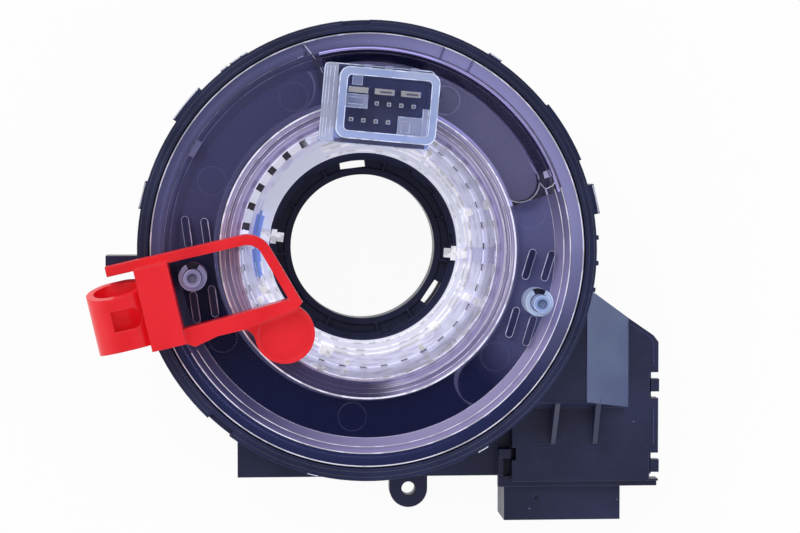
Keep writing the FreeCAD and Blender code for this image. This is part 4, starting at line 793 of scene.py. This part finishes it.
    @staticmethod
    def flat_density(tree):
        specks = group_out(tree, "dust_specks", "Mask", Scale=300.0, Share=0.12)
        light = lit(tree, FLAT_LIGHT)
        return 0.62, plus(tree, light, times(tree, specks, 0.2), clamp=True)

    @staticmethod
    def sector_density(tree):
        wall = zone(tree, 43.3, 45.6, 0.2)
        lines = turned(tree, 0.0007, 2.0, 0.58)
        base = plus(tree, 0.30, times(tree, tone_of(tree), 0.07))
        more = plus(tree, times(tree, wall, 0.40), times(tree, lines, 0.05))
        return plus(tree, base, more, clamp=True), wall

    @staticmethod
    def lip_density(tree):
        lines = turned(tree, 0.00045, 0.8, 0.48)
        # The lines' lighter share grows toward -30 degrees: painted sheen on that side of the lip.
        lit_side = toward(tree, -30.0, 60.0, 60.0)
        share = times(tree, lines, plus(tree, 0.4, times(tree, lit_side, 0.5)))
        return plus(tree, 0.72, times(tree, lines, 0.10), clamp=True), share

    @staticmethod
    def shade_density(tree):
        shade = toward(tree, 245.0, 8.0, 32.0)
        return times(tree, shade, 0.75), shade


class CLOCKSPRING_OT_hub(PieceOperator):
    """Finish the code ring and the blue strip, and add the hub's clear blocks and ledges"""
    bl_idname = "clock_spring.hub"
    bl_label = "Code ring and hub"

    def make(self, finish, detail):
        # The code ring, the blue strip and the films of the hub and the strip are given a glow:
        # painted light for the light that comes through the translucent hub.
        dress(moulded("code_ring_plastic", finish.code, 0.32, 0.2,
                      pale=(0.86, 0.87, 0.97), dust=0.05, Emission_Strength=0.55), "code_ring")
        dress(moulded("strip_plastic", finish.strip, 0.35, 0.1, Emission_Strength=0.25),
              "ribbon_stiffener")
        skin("hub_bloom", [(radius, CODE_TOP + 0.02) for radius in HUB_BAND], detail.film / MM,
             bloom("hub_bloom_film", (0.80, 0.82, 0.94), (0.50, 0.47, 0.67), self.hub_density, 0.36))
        work = bmesh.new()
        band = sheet_profile([(radius, CODE_TOP + 0.10) for radius in STRIP_BAND], SKIN)
        for arc in STRIP_ARCS:
            lathe(work, band, *arc)
        finish_piece("strip_glow", work, bloom("strip_film", (0.28, 0.40, 0.85),
                                               (0.36, 0.48, 0.88), even(0.9), 0.3))
        # The hub's blocks, hook steps and ledges are painted as glints: near-white and glowing.
        glint_white = glowing("hub_glint", (0.94, 0.93, 0.99), 0.16, 0.5)
        self.blocks(glint_white)
        work = bmesh.new()
        for radius, half in LEDGES:
            lathe(work, bead_profile(radius, CODE_TOP, half, 0.3), *LEDGE_ARC)
        finish_piece("hub_ledges", work, glint_white)

    @staticmethod
    def blocks(material):
        work = bmesh.new()
        for angle, inner, outer, width, rise in HUB_BLOCKS:
            block(work, polar_corners(angle, inner, outer, width), CODE_TOP - 0.05,
                  CODE_TOP + rise, 0.25)
        for angle in HOOKS:
            for inner, outer, width, rise in HOOK_STEPS:
                block(work, polar_corners(angle, inner, outer, width), CODE_TOP + 1.35,
                      CODE_TOP + rise, 0.08)
            block(work, polar_corners(angle, 20.0, 23.8, 0.9), CODE_TOP + 1.3, CODE_TOP + 1.6, 0.08)
        finish_piece("hub_blocks", work, material)

    @staticmethod
    def hub_density(tree):
        lines = turned(tree, 0.0006, 5.0, 0.50)
        outer = zone(tree, 26.0, 28.8, 0.6)
        opening = times(tree, toward(tree, 148.0, 26.0, 8.0), zone(tree, 27.5, 28.8, 0.2))
        dense = calc(tree, "SUBTRACT", 0.93, times(tree, outer, 0.12))
        return (times(tree, dense, calc(tree, "SUBTRACT", 1.0, opening)),
                times(tree, outer, plus(tree, 0.25, times(tree, lines, 0.45))))


class CLOCKSPRING_OT_posts(PieceOperator):
    """Add the bloom and the bright edges of the clear disc's posts, ribs and bar"""
    bl_idname = "clock_spring.posts"
    bl_label = "Posts and ribs"

    def make(self, finish, detail):
        for post in POSTS:
            self.post(*post)
        work = bmesh.new()
        block(work, polar_corners(149.4, 44.9, 46.3, 4.1), RIM_TOP - 0.42, RIM_TOP - 0.36)
        finish_piece("slope_bar", work, bloom("slope_bar_film", (0.16, 0.16, 0.32),
                                              (0.22, 0.21, 0.40), even(0.7)))
        self.ribs()

    @staticmethod
    def post(side, angle, base, light, core):
        middle = at_angle(POST_CIRCLE, angle)
        start, sweep = COLLAR_ARC
        notch_floor = COLLAR_TOP - NOTCH_DEPTH
        collar_skin, top_skin = COLLAR + POST_SKIN, COLLAR_TOP + POST_SKIN
        work = bmesh.new()
        lathe(work, [(COLLAR, FLAT_TOP), (collar_skin, FLAT_TOP), (collar_skin, notch_floor),
                     (COLLAR, notch_floor)], steps=64, centre=middle)
        lathe(work, [(COLLAR, notch_floor), (collar_skin, notch_floor), (collar_skin, top_skin),
                     (PEG_FOOT, top_skin), (PEG_FOOT, COLLAR_TOP + LIFT),
                     (COLLAR, COLLAR_TOP + LIFT)], start, sweep, 64, middle)
        finish_piece(side + "_post_bloom", work,
                     bloom(side + "_post_film", base, light, even(0.78)))
        work = bmesh.new()
        tube(work, arc_points(COLLAR - 0.05, start, start + sweep, COLLAR_TOP, middle), 0.09,
             closed=False)
        tube(work, arc_points(PEG - 0.05, 0.0, 345.0, PEG_TOP, middle, 23), 0.07)
        finish_piece(side + "_post_edges", work,
                     glowing(side + "_post_edge", tuple(min(1.0, c * 1.25) for c in light)))
        peg_skin, peak, dimple_floor = PEG + POST_SKIN, PEG_TOP + POST_SKIN, PEG_TOP - 0.98
        work = bmesh.new()
        lathe(work, [(PEG, COLLAR_TOP + 0.5), (peg_skin, COLLAR_TOP + 0.5), (peg_skin, peak),
                     (DIMPLE, peak), (DIMPLE, PEG_TOP + LIFT), (PEG, PEG_TOP + LIFT)],
              steps=64, centre=middle)
        lathe(work, sheet_profile([(0.02, dimple_floor), (DIMPLE - 0.02, dimple_floor)], SKIN),
              steps=32, centre=middle)
        finish_piece(side + "_post_core", work,
                     bloom(side + "_post_core_film", core, base, even(0.8)))

    @staticmethod
    def ribs():
        edges, tops = bmesh.new(), bmesh.new()
        for angle, along in RIBS:
            run, inward = Vector(at_angle(2.8, along + 90)), Vector(at_angle(-RIB_WIDTH / 2, along))
            for radius in RIB_CIRCLES:
                middle = Vector(at_angle(radius, angle))
                line = stadium_points(middle, along + 90, RIB_LENGTH, RIB_WIDTH, RIB_TOP)
                tube(edges, line, 0.07)
                # The thicker line on each rib's inward side is a painted highlight.
                bright = [(*(middle + inward + run * end), RIB_TOP) for end in (-1, 1)]
                tube(edges, bright, 0.12, closed=False)
                film_block(tops, [p[:2] for p in line], RIB_TOP)
        finish_piece("rib_edges", edges, glowing("rib_edge", (0.50, 0.49, 0.70), 0.2, 0.05))
        finish_piece("rib_bloom", tops, bloom("rib_film", (0.016, 0.016, 0.070),
                                              (0.05, 0.05, 0.14), even(0.6)))


class CLOCKSPRING_OT_wheel_socket(PieceOperator):
    """Finish the wheel socket, and add its rim, its ledges and the frame round its foot"""
    bl_idname = "clock_spring.wheel_socket"
    bl_label = "Wheel socket"

    def make(self, finish, detail):
        dress(clear("socket_plastic", finish.socket, 0.12, 0.05), "wheel_socket")
        self.rim(finish)
        self.edges()
        self.blooms()
        self.floor()

    @staticmethod
    def rim(finish):
        work = bmesh.new()
        outer = rounded_box_points(11.0, 7.8, 2.1, SOCKET_TOP + LIFT)
        inner = rounded_box_points(9.5, 6.3, 1.0, SOCKET_TOP + LIFT)
        loops = [[work.verts.new(Vector(p) * MM + Vector((0, 0, rise * MM))) for p in line]
                 for line, rise in ((outer, 0), (inner, 0), (inner, 0.04), (outer, 0.04))]
        span(work, zip(loops, loops[1:] + loops[:1]))
        film = bloom("socket_bloom", finish.socket_rim, (0.62, 0.70, 0.95), even(0.55))
        finish_piece("socket_rim_bloom", work, film)

    @staticmethod
    def edges():
        work = bmesh.new()
        tube(work, rounded_box_points(11.05, 7.85, 2.15, SOCKET_TOP), 0.13)
        tube(work, rounded_box_points(9.45, 6.25, 1.05, SOCKET_TOP), 0.11)
        tube(work, rounded_box_points(12.5, 8.9, 1.1, SOCKET_FLOOR, middle=(-1.7, 0.0)), 0.13)
        for u, v, length_u, width_v, top in SOCKET_BLOCKS:
            tube(work, [(*p, top) for p in socket_corners(u, v, length_u, width_v)], 0.10)
        for u in (-13.6, -12.9, -11.9):
            tube(work, [(*socket_spot(u, v), SOCKET_FLOOR) for v in (-8.0, 8.2)], 0.09, closed=False)
        # The socket's edge lines are painted highlights: pale beads that glow.
        finish_piece("socket_edges", work, glowing("socket_edge", (0.72, 0.78, 0.97), 0.2, 0.1))

    @staticmethod
    def blooms():
        work = bmesh.new()
        for u, v, length_u, width_v, top in SOCKET_BLOCKS:
            if max(length_u, width_v) > 3.0 or top > SOCKET_FLOOR + 8.0:
                film_block(work, socket_corners(u, v, length_u, width_v), top)
        for u in (-5.9, -1.2, 4.6):
            block(work, socket_corners(u, 7.9, 1.9, 1.0), RIM_TOP + 9.5, RIM_TOP + 9.54)
        film_block(work, socket_corners(-14.2, -8.8, 3.1, 17.6), SOCKET_FLOOR)
        # The films' milky colour carries a slight glow, which is painted light.
        finish_piece("socket_blooms", work, bloom("socket_milk_glow", (0.56, 0.60, 0.84),
                                                  (0.72, 0.74, 0.92), even(0.42), 0.05))

    @staticmethod
    def floor():
        work = bmesh.new()
        plate = [p[:2] for p in rounded_box_points(9.38, 6.18, 1.05, 0.0)]
        for corners in (plate, socket_corners(-10.8, -8.8, 20.6, 0.9)):
            block(work, corners, SOCKET_FLOOR + LIFT, SOCKET_FLOOR + 0.05)
        for u, v in ((-7.7, -3.6), (-2.3, 0.4)):
            for i in range(4):
                block(work, socket_corners(u + 2.76 * i - 0.2, v - 0.26, 0.44, 0.44),
                      PIN_TOP, PIN_TOP + SKIN)
        for i in (1, 2):
            block(work, socket_corners(-7.6 + 5.9 * i, 2.86, 2.6, 0.36), BLADE_TOP, BLADE_TOP + SKIN)
        finish_piece("socket_floor_plate", work,
                     moulded("socket_floor_plastic", (0.095, 0.095, 0.185), 0.35))


class CLOCKSPRING_OT_transport_lock(PieceOperator):
    """Finish the red transport lock"""
    bl_idname = "clock_spring.transport_lock"
    bl_label = "Transport lock"

    def make(self, finish, detail):
        dress(moulded("lock_plastic", finish.lock, 0.30, 0.12,
                      pale=(0.90, 0.012, 0.024), dust=0.04, radius=0.0005,
                      Coat_Weight=0.25, Coat_Roughness=0.12, Specular_IOR_Level=0.35,
                      Subsurface_Weight=0.08, Subsurface_Scale=0.002), "transport_lock")


class CLOCKSPRING_OT_module(PieceOperator):
    """Add the fine ridges and the crease of the sensor module's lid, and the crest of its raised
    block
    """
    bl_idname = "clock_spring.module"
    bl_label = "Sensor module"

    def make(self, finish, detail):
        # The ridges, the crease and the crest are painted highlights: the housing's plastic made 2.2
        # times lighter.
        plastic = moulded("ridge_highlight_plastic", tuple(c * 2.2 for c in finish.housing), 0.3)
        right, low, top = LID_RIGHT, LID_LOW, LID_FACE
        work = bmesh.new()
        ridge = [(right - 8.0, -17.4, top), (right - 2.3, -21.2, top), (right - 1.4, -22.6, top),
                 (right - 1.2, low + 27.5, top)]
        tube(work, ridge, detail.ridge / MM, closed=False)
        tube(work, [(right - 1.2, low + 17.6, top), (right - 1.2, low + 8.6, top)],
             detail.ridge / MM, closed=False)
        tube(work, [(39.0, -47.3, top), (right - 2.6, -47.3, top)], 0.07, closed=False)
        crest = [(x, y, BLOCK_FACE) for x, y in ((42.5, -35.8), (51.3, -35.8), (51.3, -14.2))]
        tube(work, crest, detail.ridge / MM * 0.8, closed=False)
        finish_piece("lid_ridge", work, plastic, "stator")


class CLOCKSPRING_OT_stage(PieceOperator):
    """Add the floor, the tent's light, the lamps and the camera"""
    bl_idname = "clock_spring.stage"
    bl_label = "Floor, lights and camera"

    def execute(self, context):
        studio = context.scene.clock_spring_studio
        self.floor(studio)
        self.tent(context.scene, studio)
        for lamp in LAMPS:
            self.lamp(*lamp)
        self.camera(context.scene, studio)
        context.scene.view_settings.view_transform = "Standard"
        return {"FINISHED"}

    @staticmethod
    def seen_directly(tree):
        """1 for what the camera, glass and gloss see."""
        path = tree.nodes.new("ShaderNodeLightPath").outputs
        return calc(tree, "MAXIMUM", path["Is Camera Ray"], calc(
            tree, "MAXIMUM", path["Is Glossy Ray"], path["Is Transmission Ray"]))

    def floor(self, studio):
        mesh = bpy.data.meshes.new("floor")
        work = bmesh.new()
        bmesh.ops.create_grid(work, x_segments=8, y_segments=8, size=2.0)
        bmesh.ops.translate(work, verts=work.verts, vec=(0, 0, -0.0002))
        work.to_mesh(mesh)
        work.free()
        material, tree, _ = begin_material("floor_paper", studio.floor, Roughness=0.9,
                                           Base_Color=(*studio.floor, 1.0), Specular_IOR_Level=0.0)
        glow = tree.nodes.new("ShaderNodeEmission")
        mix = tree.nodes.new("ShaderNodeMixShader")
        feed(tree, times(tree, self.seen_directly(tree), FLOOR_GLOW), mix.inputs[0])
        feed(tree, tree.nodes["Principled BSDF"].outputs[0], mix.inputs[1])
        feed(tree, glow.outputs[0], mix.inputs[2])
        feed(tree, mix.outputs[0], tree.nodes["Material Output"].inputs[0])
        mesh.materials.append(material)
        floor = bpy.data.objects.new("floor", mesh)
        bpy.context.scene.collection.objects.link(floor)

    def tent(self, scene, studio):
        world = bpy.data.worlds.new("tent")
        world.use_nodes = True
        tree = world.node_tree
        sky = tree.nodes["Background"]
        way = tree.nodes.new("ShaderNodeTexCoord").outputs["Generated"]
        up = ramp(tree, split(tree, way)[2], 0.25, 1.0)
        level = plus(tree, times(tree, up, studio.zenith - studio.horizon), studio.horizon)
        camera_ray = tree.nodes.new("ShaderNodeLightPath").outputs["Is Camera Ray"]
        feed(tree, calc(tree, "MAXIMUM", level, camera_ray), sky.inputs["Strength"])
        sky.inputs["Color"].default_value = TENT_COLOUR
        scene.world = world

    def lamp(self, name, place, size, power, tint):
        data = bpy.data.lights.new(name, "AREA")
        data.shape = "RECTANGLE"
        data.size, data.size_y = size
        data.energy = power
        data.color = tint
        lamp = bpy.data.objects.new(name, data)
        bpy.context.scene.collection.objects.link(lamp)
        lamp.location = place
        lamp.rotation_mode = "QUATERNION"
        lamp.rotation_quaternion = (Vector(LAMP_AIM) - lamp.location).to_track_quat("-Z", "Y")

    def camera(self, scene, studio):
        data = bpy.data.cameras.new("camera")
        data.lens, data.sensor_width = studio.lens, 36.0
        data.clip_start, data.clip_end = 0.01, 20.0
        camera = bpy.data.objects.new("camera", data)
        scene.collection.objects.link(camera)
        place = Vector(studio.camera)
        back = (place - Vector(studio.target)).normalized()
        side = Vector((0, 1, 0)).cross(back).normalized()
        turn = Matrix((side, back.cross(side), back)).transposed().to_4x4()
        camera.matrix_world = Matrix.Translation(place) @ turn
        scene.camera = camera


OPERATORS = (
    CLOCKSPRING_OT_dark_parts, CLOCKSPRING_OT_chamber, CLOCKSPRING_OT_clear_disc,
    CLOCKSPRING_OT_hub, CLOCKSPRING_OT_posts, CLOCKSPRING_OT_wheel_socket,
    CLOCKSPRING_OT_transport_lock, CLOCKSPRING_OT_module, CLOCKSPRING_OT_stage,
)
SETTINGS = {
    "clock_spring_finish": ClockSpringFinish,
    "clock_spring_detail": ClockSpringDetail,
    "clock_spring_studio": ClockSpringStudio,
}


class VIEW3D_PT_clock_spring(bpy.types.Panel):
    """The clock spring's operators and settings"""
    bl_label = "Clock spring"
    bl_space_type = "VIEW_3D"
    bl_region_type = "UI"
    bl_category = "Clock spring"

    def draw(self, context):
        for operator in OPERATORS:
            self.layout.operator(operator.bl_idname)
        for name, settings in SETTINGS.items():
            part = self.layout.box()
            for key in settings.__annotations__:
                part.prop(getattr(context.scene, name), key)


def register():
    for kind in (*SETTINGS.values(), *OPERATORS, VIEW3D_PT_clock_spring):
        bpy.utils.register_class(kind)
    for name, settings in SETTINGS.items():
        setattr(bpy.types.Scene, name, bpy.props.PointerProperty(type=settings))


def unregister():
    for name in SETTINGS:
        delattr(bpy.types.Scene, name)
    for kind in (VIEW3D_PT_clock_spring, *reversed(OPERATORS), *SETTINGS.values()):
        bpy.utils.unregister_class(kind)


def main():
    register()
    for operator in OPERATORS:
        family, name = operator.bl_idname.split(".")
        getattr(getattr(bpy.ops, family), name)()


if __name__ == "__main__":
    main()
